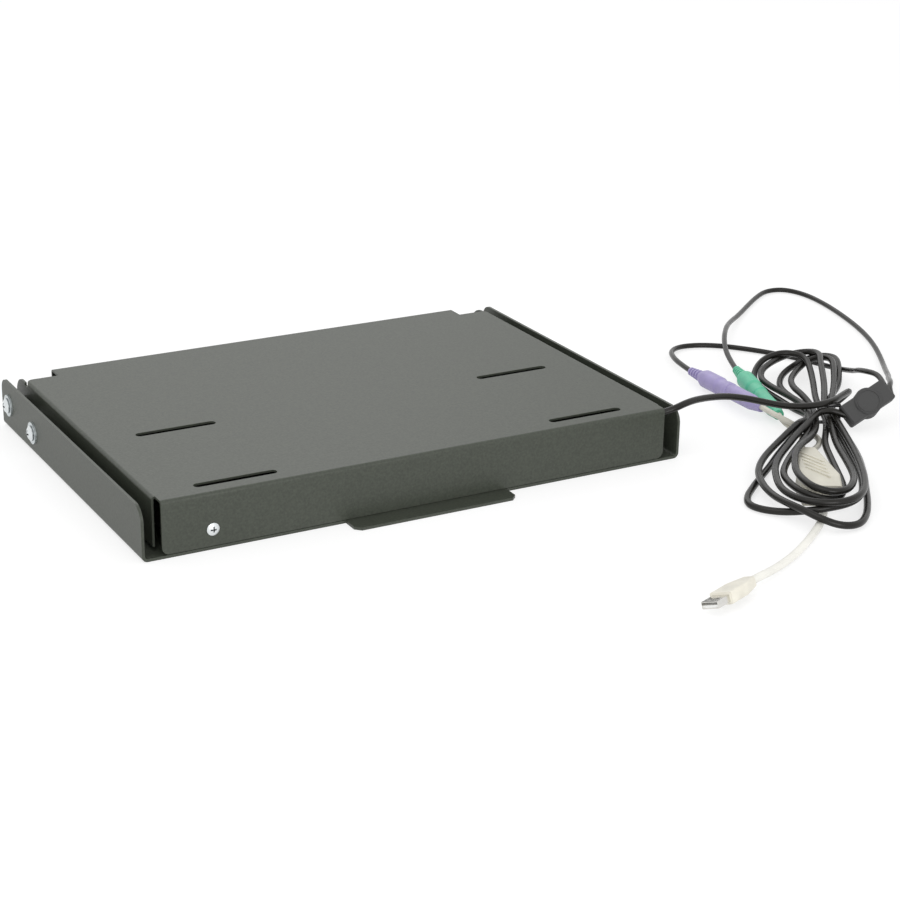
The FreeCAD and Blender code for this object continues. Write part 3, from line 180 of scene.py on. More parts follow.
@dataclass(frozen=True)
class Finish:
    """A finish with a cloudy tone, uneven gloss and a fine grain.

    Attributes:
        name: The material's name.
        colour: The average colour, as linear light.
        roughness: The average roughness.
        tone: How far the colour swings, as a share of it.
        patch: The size of the tone's clouds, in metres.
        grain: The size of the grain, in metres.
        depth: The depth of the grain, in metres.
        gloss_swing: How far the roughness swings.
        metallic: 1 for bare or plated metal.
        specular: The shader's specular level.
    """

    name: str
    colour: Colour
    roughness: float
    tone: float = 0.08
    patch: float = 0.03
    grain: float = 0.0008
    depth: float = 0.00003
    gloss_swing: float = 0.05
    metallic: float = 0.0
    specular: float = 0.5

    def material(self) -> bpy.types.Material:
        """The finish as a material, made the first time that it is asked for."""
        return bpy.data.materials.get(self.name) or self.paint()

    def paint(self) -> bpy.types.Material:
        """Makes the material.

        Returns:
            A node-based material.
        """
        sketch = NodeSketch(self.name)
        self.colours(sketch)
        gloss = sketch.noise(self.patch * GLOSS_SHARE, GLOSS_DETAIL)
        rough = sketch.ranged(gloss, self.roughness - self.gloss_swing, self.roughness + self.gloss_swing)
        sketch.join(rough, sketch.shader.inputs["Roughness"])
        sketch.dent(self.texture(sketch), self.depth)
        sketch.set(Metallic=self.metallic, Specular_IOR_Level=self.specular)
        return sketch.material

    def colours(self, sketch: NodeSketch) -> None:
        """Feeds the shader's colour with the cloudy tone."""
        self.swing(sketch, self.tone, self.patch, CLOUD_DETAIL)

    def swing(self, sketch: NodeSketch, tone: float, size: float, detail: float) -> None:
        """Feeds the shader's colour with a pattern about the average colour.

        Args:
            sketch: The material.
            tone: How far the colour swings, as a share of it.
            size: How large the pattern's lumps are, in metres.
            detail: How much finer pattern lies on it.
        """
        dark = tuple(part * (1 - tone) for part in self.colour)
        light = tuple(min(1.0, part * (1 + tone)) for part in self.colour)
        share = sketch.ranged(sketch.noise(size, detail), 0.0, 1.0)
        sketch.join(sketch.blend(share, dark, light), sketch.shader.inputs["Base Color"])

    def texture(self, sketch: NodeSketch) -> Socket:
        """The grain's height."""
        return sketch.noise(self.grain, GRAIN_DETAIL)


@dataclass(frozen=True)
class PowderCoat(Finish):
    """A sprayed powder coat: fine pebbles, with tiny specks in the tone.

    Attributes:
        speck: The size of the specks, in metres.
        speck_tone: How far the specks swing the colour.
    """

    speck: float = 0.0011
    speck_tone: float = 0.3

    def colours(self, sketch: NodeSketch) -> None:
        """Feeds the shader's colour with specks."""
        self.swing(sketch, self.speck_tone, self.speck, SPECK_DETAIL)

    def texture(self, sketch: NodeSketch) -> Socket:
        """The pebbles' height."""
        node = sketch.add("ShaderNodeTexVoronoi", feature="SMOOTH_F1")
        node.inputs["Scale"].default_value = 1.0 / self.grain
        sketch.join(sketch.place, node.inputs["Vector"])
        return node.outputs["Distance"]


@dataclass(frozen=True)
class Plating(Finish):
    """Plated metal with a faint drawn grain.

    Attributes:
        draw: How much the grain is stretched along each axis.
    """

    patch: float = 0.004
    grain: float = 0.0004
    depth: float = 0.00002
    metallic: float = 1.0
    draw: Point = (1.0, 1.0, 6.0)

    def texture(self, sketch: NodeSketch) -> Socket:
        """The drawn grain's height."""
        return sketch.noise(self.grain, DRAWN_DETAIL, sketch.stretched(self.draw))


@dataclass(frozen=True)
class HeadPlatingWithPaintedShade(Plating):
    """Plated screw heads, with painted shade below their domed faces and in their recesses.

    The heads lie alike left and right.

    Attributes:
        centres: The centres of the domes on the right, in millimetres.
        radius: The domes' radius, in millimetres.
        skin: How far below the dome the painted shade begins, in millimetres.
        deep: How far below the dome the painted shade is full, in millimetres.
        shade: How bright the painted shade is, as a share of the colour.
    """

    centres: tuple[Point, ...] = ()
    radius: float = 1.0
    skin: float = 0.15
    deep: float = 0.45
    shade: float = 0.2

    def colours(self, sketch: NodeSketch) -> None:
        """Feeds the shader's colour with the plain tone on the domes and painted shade below them and in
        their recesses.
        """
        parts = sketch.add("ShaderNodeSeparateXYZ")
        sketch.join(sketch.place, parts.inputs["Vector"])
        right = sketch.add("ShaderNodeMath", operation="ABSOLUTE")
        sketch.join(parts.outputs["X"], right.inputs[0])
        folded = sketch.add("ShaderNodeCombineXYZ")
        sketch.join(right.outputs["Value"], folded.inputs["X"])
        sketch.join(parts.outputs["Y"], folded.inputs["Y"])
        sketch.join(parts.outputs["Z"], folded.inputs["Z"])
        light = sketch.ranged(sketch.noise(self.patch, CLOUD_DETAIL), 1.0 - self.tone, 1.0)
        # Painted shade: whatever lies nearer a dome's centre than its face, such as the cross recess, is
        # darkened.
        for centre in self.centres:
            away = sketch.add("ShaderNodeVectorMath", operation="DISTANCE")
            away.inputs[1].default_value = tuple(value * MM for value in centre)
            sketch.join(folded.outputs["Vector"], away.inputs[0])
            face = sketch.add("ShaderNodeMapRange")
            face.inputs["From Min"].default_value = (self.radius - self.deep) * MM
            face.inputs["From Max"].default_value = (self.radius - self.skin) * MM
            sketch.join(away.outputs["Value"], face.inputs["Value"])
            both = sketch.add("ShaderNodeMath", operation="MULTIPLY")
            sketch.join(light, both.inputs[0])
            sketch.join(face.outputs["Result"], both.inputs[1])
            light = both.outputs["Value"]
        # The colour of the painted shade.
        dark = tuple(part * self.shade for part in self.colour)
        sketch.join(sketch.blend(light, dark, self.colour), sketch.shader.inputs["Base Color"])


@dataclass(frozen=True)
class Lens(Finish):
    """A clear tinted moulding.

    Attributes:
        clearness: The share of light that goes through.
    """

    clearness: float = 0.6

    def paint(self) -> bpy.types.Material:
        """Makes the material, with the light that goes through."""
        material = super().paint()
        shader = next(node for node in material.node_tree.nodes if node.type == "BSDF_PRINCIPLED")
        shader.inputs["Transmission Weight"].default_value = self.clearness
        return material


# The dome centres set where the zinc finishes of the bolts and the catch screw paint shade into the recesses
# and below the domes.
BOLT_DOMES = ((200.07, 132.0, 19.8), (200.07, 78.6, 16.5))
CATCH_DOME = (154.9, -126.3, 14.0)

PAINT = PowderCoat("powder_coat", (0.050, 0.057, 0.0435), 0.44, specular=0.42, patch=0.0025, grain=0.0012,
                   depth=0.00004, gloss_swing=0.02, speck=0.0016, speck_tone=0.18)
BOLT_ZINC_PAINTED_SHADE = HeadPlatingWithPaintedShade("bolt_zinc_painted_shade", (0.74, 0.77, 0.78), 0.28, centres=BOLT_DOMES, radius=7.726)
SCREW_ZINC_PAINTED_SHADE = HeadPlatingWithPaintedShade("screw_zinc_painted_shade", (0.78, 0.81, 0.82), 0.3, centres=(CATCH_DOME,), radius=7.304)
WASHER_ZINC = Plating("washer_zinc", (0.56, 0.60, 0.61), 0.4)
NICKEL = Plating("nickel_plate", (0.70, 0.69, 0.66), 0.2, patch=0.006, grain=0.0005, depth=0.00001)
BARE_STEEL = Plating("bare_steel", (0.46, 0.46, 0.46), 0.38, patch=0.02, grain=0.0008, depth=0.00003)
BUSH_NYLON = Finish("bush_nylon", (0.10, 0.10, 0.10), 0.5, patch=0.006)
CATCH_PLASTIC = Finish("catch_plastic", (0.05, 0.05, 0.052), 0.5, patch=0.01)
FERRITE = Finish("ferrite", (0.10, 0.10, 0.105), 0.6, tone=0.2, patch=0.004, grain=0.0005)
CASE_PLASTIC = Finish("case_plastic", (0.030, 0.030, 0.032), 0.5, patch=0.05, grain=0.0006, depth=0.00005)
KEY_PLASTIC = Finish("key_plastic", (0.022, 0.022, 0.024), 0.45, patch=0.01, grain=0.0005)
TOUCH_PLASTIC = Finish("touch_plastic", (0.040, 0.040, 0.043), 0.35, patch=0.02, grain=0.0004)
LENS_PLASTIC = Lens("lens_plastic", (0.2, 0.62, 0.26), 0.15, grain=0.002, depth=0.000005)
STRIP_FOAM = Finish("strip_foam", (0.05, 0.05, 0.05), 0.9, tone=0.25, patch=0.003, grain=0.0009, depth=0.0002)
LEAD_JACKET = Finish("lead_jacket", (0.011, 0.0103, 0.0085), 0.28, specular=0.3, patch=0.02, grain=0.0009,
                     depth=0.00002)
TIE_PLASTIC = Finish("tie_plastic", (0.02, 0.02, 0.021), 0.4, patch=0.01)
SPLITTER_PLASTIC = Finish("splitter_plastic", (0.036, 0.037, 0.035), 0.42, patch=0.012, grain=0.0005)
PURPLE = Finish("purple_moulding", (0.36, 0.31, 0.56), 0.42, patch=0.01, grain=0.0007)
GREEN = Finish("green_moulding", (0.10, 0.52, 0.32), 0.42, patch=0.01, grain=0.0007)
BEIGE = Finish("beige_moulding", (0.68, 0.655, 0.56), 0.45, patch=0.015, grain=0.0007)
IVORY = Finish("ivory_moulding", (0.80, 0.77, 0.67), 0.4, patch=0.012, grain=0.0007)
BEIGE_JACKET = Finish("beige_jacket", (0.66, 0.64, 0.56), 0.38, patch=0.02, grain=0.0009)
IVORY_JACKET = Finish("ivory_jacket", (0.86, 0.85, 0.79), 0.36, patch=0.02, grain=0.0009)
TONGUE_PLASTIC = Finish("tongue_plastic", (0.80, 0.80, 0.78), 0.4, patch=0.005)


def dress(finish: Finish, *nodes: str) -> None:
    """Gives carried-over nodes a finish.

    Args:
        finish: The finish that they get.
        nodes: The nodes' names.
    """
    for name in nodes:
        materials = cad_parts[name].data.materials
        materials.clear()
        materials.append(finish.material())
        log.info("%s: %s", name, finish.name)


# Sheet metal and its fasteners

@dataclass
class Tray:
    """The pan that carries the keyboard, with the pivot and stop bolts in its walls."""

    sheet: tuple[str, ...] = ("tray_pan",)
    bolts: tuple[str, ...] = ("pivot_bolts", "stop_bolts")
    plated: tuple[str, ...] = ("head_washers", "inner_washers", "lock_nuts")
    nylon: tuple[str, ...] = ("spacer_bushes",)

    def dress(self) -> None:
        """Gives the pan, the bolts and what is on them their finishes."""
        dress(PAINT, *self.sheet)
        dress(BOLT_ZINC_PAINTED_SHADE, *self.bolts)
        dress(WASHER_ZINC, *self.plated)
        dress(BUSH_NYLON, *self.nylon)


@dataclass
class WallBracket:
    """The bracket that closes over the pan, with its magnetic catch."""

    sheet: str = "wall_bracket"
    screw: str = "catch_screw"
    block: str = "catch_block"
    magnet: str = "catch_magnet"

    def dress(self) -> None:
        """Gives the bracket and its catch their finishes."""
        dress(PAINT, self.sheet)
        dress(SCREW_ZINC_PAINTED_SHADE, self.screw)
        dress(CATCH_PLASTIC, self.block)
        dress(FERRITE, self.magnet)


# Keyboard

@dataclass
class Keyboard:
    """The keyboard with a touchpad that lies in the pan."""

    case: tuple[str, ...] = ("keyboard_base", "keyboard_top", "lead_relief")
    keys: tuple[str, ...] = ("keys_bottom_row", "keys_lower_row", "keys_home_row", "keys_upper_row",
                             "keys_number_row", "keys_function_row", "space_bar")
    touch: tuple[str, ...] = ("touchpad", "touch_button_left", "touch_button_right")

    def dress(self) -> None:
        """Gives the keyboard's pieces their finishes."""
        dress(CASE_PLASTIC, *self.case)
        dress(BARE_STEEL, "key_plate")
        dress(KEY_PLASTIC, *self.keys)
        dress(TOUCH_PLASTIC, *self.touch)
        dress(LENS_PLASTIC, "indicator_lenses")
        dress(STRIP_FOAM, "holding_strips")


# Leads

LEAD_DIAMETER = 5.0
TAIL_DIAMETER = 4.2
USB_DIAMETER = 5.4
LINE_ORDER = 3
LINE_STEPS = 8
JACKET_STEPS = 5


@dataclass
class Lead:
    """A free lead along a smooth line.

    Attributes:
        name: The piece's name.
        nodes: The nodes that it stands for.
        route: The line's control points, in millimetres.
        diameter: In millimetres.
        length: The real length, in metres; not used.
        far_end: What it ends in; not used.
        on_it: The pieces on it; not used.
        finish: Its jacket.
        slot: A material slot's name; not used.
        lay: How it lies; not used.
    """

    name: str
    nodes: tuple[str, ...]
    route: list[Point]
    diameter: float
    length: float
    far_end: FarEnd
    on_it: tuple[str, ...]
    finish: Finish
    slot: str
    lay: Lay = Lay.LOOSE

    def build(self) -> None:
        curve = bpy.data.curves.new(self.name, "CURVE")
        curve.dimensions = "3D"
        spline = curve.splines.new("NURBS")
        spline.points.add(len(self.route) - 1)
        for point, place in zip(spline.points, self.route):
            point.co = (*(value * MM for value in place), 1.0)
        spline.order_u = LINE_ORDER
        spline.use_endpoint_u = True
        curve.resolution_u = LINE_STEPS
        curve.bevel_depth = self.diameter * MM / 2
        curve.bevel_resolution = JACKET_STEPS
        curve.use_fill_caps = True
        curve.materials.append(self.finish.material())
        lead = bpy.data.objects.new(self.name, curve)
        bpy.context.scene.collection.objects.link(lead)
        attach(lead, TRAY_BODY)
        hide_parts(*self.nodes)
        log.info("%s: %d points", self.name, len(self.route))


@dataclass(frozen=True)
class Turn:
    """One turn of the hank.

    Attributes:
        out_slot: Its column and layer in the waist on the way to the front.
        near: The front end's control points, in millimetres.
        back_slot: Its column and layer in the waist on the way back.
        far: The rear end's control points, in millimetres.
    """

    out_slot: tuple[float, int]
    near: tuple[Point, ...]
    back_slot: tuple[float, int]
    far: tuple[Point, ...]


OUTER_TURN = Turn(
    (2.5, 0),
    ((331, -163, 3.4), (316, -194, 2.8), (300, -219, 2.7), (284, -241, 2.7), (267, -264, 2.7),
     (251, -282.5, 2.7), (236, -293.5, 3), (221, -293, 5), (211, -284.5, 8.6), (206, -272, 11.2),
     (204, -256, 11), (206, -240, 9.4), (211.5, -222, 8.4), (220.5, -203, 8), (231, -189, 8),
     (245, -176, 8), (259, -166, 8.6), (274, -157, 10), (291, -147, 12), (309, -135.5, 11.8)),
    (-2.5, 0),
    ((334.5, -96, 3.4), (337, -76, 3.2), (341, -45, 3.2), (346, -28, 4.2), (355.5, -17, 8.6),
     (368, -11.5, 14), (384, -11, 16), (394, -18.5, 16), (396, -29.5, 14.8), (387.5, -45.5, 12.2),
     (372.5, -69, 9.6), (355, -94, 7.6)))
INNER_TURN = Turn(
    (0.5, 0),
    ((322, -149, 5.4), (306, -167, 5.6), (288, -199, 5.8), (271, -230, 6.4), (260.5, -246, 7.6),
     (250, -257.5, 9), (239, -265, 10.5), (227, -262.5, 12), (221.5, -249, 13), (223.5, -234, 13),
     (229, -219, 13), (240.5, -205.5, 12.4), (262, -186, 11.2), (288.5, -164.5, 9.6), (309, -146, 9.2)),
    (-2.5, 1),
    ((338, -97, 9.2), (340, -75, 8.8), (341, -54, 8.6), (345, -38, 8.8), (354, -27, 11),
     (369, -18.5, 12), (385, -10.5, 11.4), (397, -8.5, 12.4), (407, -11.5, 13.6), (411.5, -20, 15.4),
     (408, -31, 16.8), (399, -43, 16.4), (389.7, -57, 15), (374.5, -79.5, 12.4), (356, -103, 11.4)))
UPPER_TURN = Turn(
    (0.5, 1),
    ((324, -153, 8.8), (307, -179, 9), (290, -211, 11), (272, -242, 13.6), (258, -258, 15.4),
     (245, -267, 16.2), (233, -266.5, 17), (226.5, -256, 17.8), (228, -243, 18), (232.5, -230, 17.6),
     (240, -217, 17.4), (256, -197, 17.6), (271, -184.5, 17.2), (288.5, -172, 14.2), (312, -150, 10.2)),
    (-1.5, 1),
    ((341, -98, 6.4), (347, -78, 4.2), (352, -57, 3.6), (360, -42, 3.6), (374, -28, 4.6),
     (392, -19.5, 7), (407, -16.5, 9.4), (418, -20, 11.4), (423, -30, 12.6), (418, -41.5, 12.6),
     (407.5, -56, 10.8), (391, -77, 8.6), (372, -92, 7.4), (358.5, -103.5, 6.8)))
LOWER_TURN = Turn(
    (1.5, 0),
    ((328, -157, 4.4), (311, -189, 5), (291, -225, 7), (273, -251, 8.6), (259, -266, 9.4),
     (241, -275.5, 10.4), (223, -275, 10.4), (211, -267, 7.6), (203, -254, 3.6), (194.5, -242.5, 2.7),
     (191.5, -231, 2.7), (199, -219.5, 2.7), (211, -209, 2.7), (226, -197, 2.7), (247, -181, 2.7),
     (262, -168.5, 3), (280, -156, 5), (299, -144.5, 7.6), (317, -133.5, 8)),
    (-1.5, 0),
    ((346.5, -101, 5.8), (351.5, -82, 8.4), (355, -66, 8.8), (364, -51, 8.8), (378, -38.5, 8.8),
     (391, -30, 9.6), (400.5, -25.5, 11.4), (409.5, -28, 13.6), (413, -37, 15.2), (408.5, -47.5, 15),
     (400.5, -58, 14), (385, -78.5, 12), (363.5, -103, 11)))
LAST_HALF = (
    (330, -156, 9.6), (316.5, -182, 10), (300.5, -211, 11), (281.5, -241, 12.6), (264, -264, 14),
    (248, -277, 15), (232, -280, 15), (218, -273.5, 14.6), (210.5, -259.5, 14), (211, -244, 13.6),
    (216, -231, 13.2), (224, -217.5, 12.8), (235, -202, 12.2), (250, -187, 11.8), (270, -171.5, 12),
    (289, -157.5, 13))


@dataclass
class Hank:
    """The lead's loose hank, drawn in at its waist. Lengths are in millimetres.

    Attributes:
        waist: The middle of the waist on the floor.
        angle: The way to the rear along the waist, in degrees.
        half: Half the waist's length.
        column: From one strand's middle to the next one's beside it.
        layer: From one strand's middle to the next one's above it.
        bottom: Height of the waist's underside.
        turns: The whole turns, in the order in which the lead runs.
        last_slot: The last half turn's column and layer in the waist.
        last_half: Its control points at the front end.
    """

    waist: tuple[float, float] = (339.0, -123.0)
    angle: float = 59.0
    half: float = 7.0
    column: float = 4.3
    layer: float = 4.8
    bottom: float = 2.2
    turns: tuple[Turn, ...] = (OUTER_TURN, INNER_TURN, UPPER_TURN, LOWER_TURN)
    last_slot: tuple[float, int] = (1.5, 1)
    last_half: tuple[Point, ...] = LAST_HALF

    def passage(self, slot: tuple[float, int], way: int) -> list[Point]:
        """The two control points of a strand in the waist.

        Args:
            slot: Its column, counted to the right from the middle, and its layer, counted up.
            way: 1 for a strand that runs to the rear, -1 for one that runs to the front.

        Returns:
            The point where it enters the waist and the point where it leaves.
        """
        column, layer = slot
        cosine = math.cos(math.radians(self.angle))
        sine = math.sin(math.radians(self.angle))
        across = column * self.column
        height = self.bottom + (layer + 0.5) * self.layer
        points = []
        for along in (-way * self.half, way * self.half):
            x = self.waist[0] + cosine * along + sine * across
            y = self.waist[1] + sine * along - cosine * across
            points.append((x, y, height))
        return points

    def route(self) -> list[Point]:
        """All the turns' control points, in the order in which the lead runs."""
        points = []
        for turn in self.turns:
            points += self.passage(turn.out_slot, -1)
            points += turn.near
            points += self.passage(turn.back_slot, 1)
            points += turn.far
        return points + self.passage(self.last_slot, -1) + list(self.last_half)


@dataclass
class Leads:
    """The keyboard's lead with its hank, its two tails and the adapter's leads.

    Routes are lists of control points, in millimetres.
    """

    hank: Hank = field(default_factory=Hank)
    lead_start: tuple[Point, ...] = (
        (102, 90, 11), (104.5, 101, 9.6), (114, 110.5, 7.2), (130, 112, 5.6), (147, 105, 5),
        (162, 93, 5.1), (173.5, 77, 4.9), (180, 55, 5), (183, 30, 4.9), (183.5, 0, 5.2),
        (183, -32, 7.2), (182.5, -62, 13), (182.5, -87, 21), (183, -104, 27), (183.8, -116.5, 31),
        (188.6, -126, 33.9), (197.6, -130.4, 37.2), (208.5, -129, 39.4), (221.5, -124.5, 38.8),
        (237.5, -120, 36.6), (253.5, -117.6, 34), (268.5, -118.6, 30.6), (282.5, -123.2, 26.8),
        (294, -126.4, 23.6), (304, -128.6, 21.6), (317, -132, 20.6), (332, -132.3, 20.4),
        (347, -127, 19.4), (360, -118.6, 18.2), (373.9, -110.2, 16.8), (376.4, -105.1, 12.9),
        (373.9, -101.4, 7.7), (368, -101.3, 4.2), (362.5, -105, 4), (357.5, -111.5, 4.2))
    lead_end: tuple[Point, ...] = (
        (306, -147, 14), (317, -139.5, 14.6), (326.5, -134, 15.2), (335, -133.5, 15.2),
        (342, -137, 13.4), (347.5, -141, 11))
    keyboard_tail: tuple[Point, ...] = (
        (381.1, -140, 29.6), (386.3, -130.5, 30.5), (390, -119.5, 31), (391.5, -105.5, 28.5),
        (397, -91, 24), (405, -77.5, 18), (412, -61, 12.4), (417.5, -44, 7.4), (420.5, -26, 3.8),
        (418, -8, 2.5), (411, 9, 2.4), (402, 25, 2.5), (390.5, 42, 2.4), (376, 58, 2.5),
        (360, 68.5, 2.4), (343, 70.5, 2.7), (328.5, 61, 3.8), (319, 44, 5.4), (312.2, 24.5, 6.8),
        (308.7, 3.5, 7.2))
    mouse_tail: tuple[Point, ...] = (
        (383.3, -145.8, 24.2), (387.5, -138.5, 26.4), (396, -130, 26.6), (406.5, -116.5, 22.8),
        (418.5, -101.5, 17.4), (432.5, -86, 12), (446, -68, 7.4), (460, -48.5, 4.2), (474, -28, 2.6),
        (488, -5, 2.4), (500.5, 20, 2.5), (511.5, 48, 2.4), (521, 81, 2.5), (528.5, 115, 2.4),
        (530.5, 145, 2.5), (523, 166, 2.4), (505, 168.5, 2.5), (486, 157, 2.4), (463, 139, 2.5),
        (438, 118, 3.2), (411, 95, 6.8), (390, 71.5, 10.4), (370, 45.5, 10.6), (354, 18, 8.2),
        (343, -9.5, 7.2))
    first_adapter: tuple[Point, ...] = (
        (299.5, -99.96, 12.5), (298.6, -109.5, 12.6), (300, -118.5, 11.4), (305.5, -126, 8.4),
        (311.5, -133, 4.2), (315, -141.5, 2.5), (313.5, -152, 2.4), (305.5, -162.5, 2.8),
        (295.5, -170.5, 4.4), (287, -177.2, 6.4), (281.02, -184.77, 7.7))
    second_adapter: tuple[Point, ...] = (
        (309.79, -108.05, 7.2), (306.9, -117, 5.4), (308.3, -127.5, 3.2), (306.5, -139, 2.4),
        (300.5, -150, 2.5), (292.5, -159.5, 3), (283.5, -169, 5.2), (274.98, -181.23, 7.7))
    usb: tuple[Point, ...] = (
        (238, -251, 5.5), (231.5, -261.5, 4.8), (222, -273, 3.5), (208.5, -284.5, 2.9),
        (190.5, -298, 3), (172.5, -310, 2.9), (154, -320.5, 3.4), (138.5, -328.5, 4.6),
        (125, -334.6, 6), (112.3, -339.7, 6.7))

    def build(self) -> None:
        """Makes every lead."""
        whole = [*self.lead_start, *self.hank.route(), *self.lead_end]
        leads = [
            Lead(name="keyboard_lead_whole", nodes=("keyboard_lead", "lead_hank"), route=whole,
                 diameter=LEAD_DIAMETER, length=3.72, far_end=FarEnd.FITTING,
                 on_it=("splitter_block", "hank_tie"), finish=LEAD_JACKET, slot="black_lead", lay=Lay.COILED),
            Lead(name="keyboard_tail_lead", nodes=("keyboard_tail",), route=list(self.keyboard_tail),
                 diameter=TAIL_DIAMETER, length=0.336, far_end=FarEnd.PLUG,
                 on_it=("keyboard_plug",), finish=LEAD_JACKET, slot="black_lead"),
            Lead(name="mouse_tail_lead", nodes=("mouse_tail",), route=list(self.mouse_tail),
                 diameter=TAIL_DIAMETER, length=0.619, far_end=FarEnd.PLUG,
                 on_it=("mouse_plug",), finish=LEAD_JACKET, slot="black_lead"),
            Lead(name="first_adapter_lead", nodes=("adapter_lead_first",), route=list(self.first_adapter),
                 diameter=TAIL_DIAMETER, length=0.104, far_end=FarEnd.FITTING,
                 on_it=("keyboard_socket", "adapter_body"), finish=BEIGE_JACKET, slot="beige_lead"),
            Lead(name="second_adapter_lead", nodes=("adapter_lead_second",), route=list(self.second_adapter),
                 diameter=TAIL_DIAMETER, length=0.085, far_end=FarEnd.FITTING,
                 on_it=("mouse_socket", "adapter_body"), finish=BEIGE_JACKET, slot="beige_lead"),
            Lead(name="usb_plug_lead", nodes=("usb_lead",), route=list(self.usb),
                 diameter=USB_DIAMETER, length=0.156, far_end=FarEnd.PLUG,
                 on_it=("usb_moulding", "usb_shell", "usb_tongue"), finish=IVORY_JACKET, slot="beige_lead"),
        ]
        for lead in leads:
            lead.build()


# Connectors and what is moulded on them

@dataclass
class Connectors:
    """The splitter, the round plugs and their sockets, the adapter and its USB plug."""

    def dress(self) -> None:
        """Gives the connectors their finishes."""
        dress(SPLITTER_PLASTIC, "splitter_block")
        dress(TIE_PLASTIC, "hank_tie")
        dress(PURPLE, "keyboard_plug", "keyboard_socket")
        dress(GREEN, "mouse_plug", "mouse_socket")
        dress(BEIGE, "adapter_body")
        dress(IVORY, "usb_moulding")
        dress(NICKEL, "usb_shell")
        dress(TONGUE_PLASTIC, "usb_tongue")


def add_piece(name: str, mesh: bmesh.types.BMesh, finish: Finish, smooth: bool) -> None:
    """Adds one moulded piece to the tray's body.

    Args:
        name: The piece's name.
        mesh: Its shape, in millimetres and in its place.
        finish: Its finish.
        smooth: Whether its faces blend into each other.
    """
    bmesh.ops.scale(mesh, vec=(MM, MM, MM), verts=mesh.verts)
    bmesh.ops.recalc_face_normals(mesh, faces=mesh.faces)
    data = bpy.data.meshes.new(name)
    mesh.to_mesh(data)
    mesh.free()
    if smooth:
        data.shade_smooth()
    data.materials.append(finish.material())
    piece = bpy.data.objects.new(name, data)
    bpy.context.scene.collection.objects.link(piece)
    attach(piece, TRAY_BODY)
    log.info("%s: %d faces", name, len(data.polygons))


@dataclass
class SplitterRings:
    """A raised ring on each face of the splitter's round boss.

    Lengths are in millimetres, angles in degrees.

    Attributes:
        start: The middle of the splitter's end where the lead enters.
        roll: The splitter's turn about its length.
        pitch: How steeply it rises.
        yaw: Its turn about the upright.
        middle: From that end to the boss's middle.
        face: From the splitter's middle plane to the boss's face.
        radius: The ring's radius.
        wire: The ring's half thickness.
        wire_sides: How many sides its section has.
        steps: How many steps go round it.
    """

    start: Point = (346.0, -141.0, 10.0)
    roll: float = 46.0
    pitch: float = 25.0
    yaw: float = -3.0
    middle: float = 20.0
    face: float = 6.5
    radius: float = 8.4
    wire: float = 0.55
    wire_sides: int = 12
    steps: int = 64

    def build(self) -> None:
        """Makes both rings as one piece."""
        mesh = bmesh.new()
        for side in (-1, 1):
            ring = bmesh.ops.create_circle(mesh, segments=self.wire_sides, radius=self.wire)["verts"]
            stand = Matrix.Translation((self.radius, 0, 0)) @ Matrix.Rotation(math.radians(90), 4, "X")
            bmesh.ops.transform(mesh, matrix=stand, verts=ring)
            edges = list({edge for vertex in ring for edge in vertex.link_edges})
            before = set(mesh.verts) - set(ring)
            bmesh.ops.spin(mesh, geom=ring + edges, cent=(0, 0, 0), axis=(0, 0, 1), angle=math.tau,
                           steps=self.steps, use_merge=True)
            made = [vertex for vertex in mesh.verts if vertex not in before]
            bmesh.ops.translate(mesh, vec=(self.middle, 0, side * self.face), verts=made)
        place = (Matrix.Translation(self.start) @ Matrix.Rotation(math.radians(self.yaw), 4, "Z")
                 @ Matrix.Rotation(math.radians(-self.pitch), 4, "Y")
                 @ Matrix.Rotation(math.radians(self.roll), 4, "X"))
        bmesh.ops.transform(mesh, matrix=place, verts=mesh.verts)
        add_piece("splitter_rings", mesh, SPLITTER_PLASTIC, True)


@dataclass
class AdapterRibs:
    """Slanting grip ribs on the adapter's top. Lengths are in millimetres, angles in degrees.

    Attributes:
        start: The middle of the adapter's narrow end.
        yaw: The way from there to its wide end.
        first: From the narrow end to the first rib's middle.
        spacing: From one rib to the next, along the adapter.
        count: How many ribs there are.
        size: One rib's thickness, length and height.
        slant: How far a rib is turned from straight across.
        low: The top's height over the adapter's middle at the narrow end.
        rise: How much the top rises for each millimetre.
        edge: How much is taken off a rib's edges.
        edge_steps: How many steps round an edge off.
    """

    start: Point = (278.0, -183.0, 7.7)
    yaw: float = -120.47
    first: float = 22.0
    spacing: float = 8.0
    count: int = 5
    size: Point = (1.6, 24.0, 1.8)
    slant: float = -55.0
    low: float = 5.0
    rise: float = 0.0453
    edge: float = 0.35
    edge_steps: int = 2

    def build(self) -> None:
        """Makes the ribs as one piece."""
        mesh = bmesh.new()
        for number in range(self.count):
            along = self.first + number * self.spacing
            height = self.low + self.rise * along
            place = (Matrix.Translation((along, 0, height)) @ Matrix.Rotation(-math.atan(self.rise), 4, "Y")
                     @ Matrix.Rotation(math.radians(self.slant), 4, "Z") @ Matrix.Diagonal((*self.size, 1.0)))
            bmesh.ops.create_cube(mesh, size=1.0, matrix=place)
        bmesh.ops.bevel(mesh, geom=mesh.edges[:], offset=self.edge, offset_type="OFFSET", affect="EDGES",
                        segments=self.edge_steps, profile=0.5, material=-1)
        place = Matrix.Translation(self.start) @ Matrix.Rotation(math.radians(self.yaw), 4, "Z")
        bmesh.ops.transform(mesh, matrix=place, verts=mesh.verts)
        add_piece("adapter_ribs", mesh, BEIGE, False)


# Picture

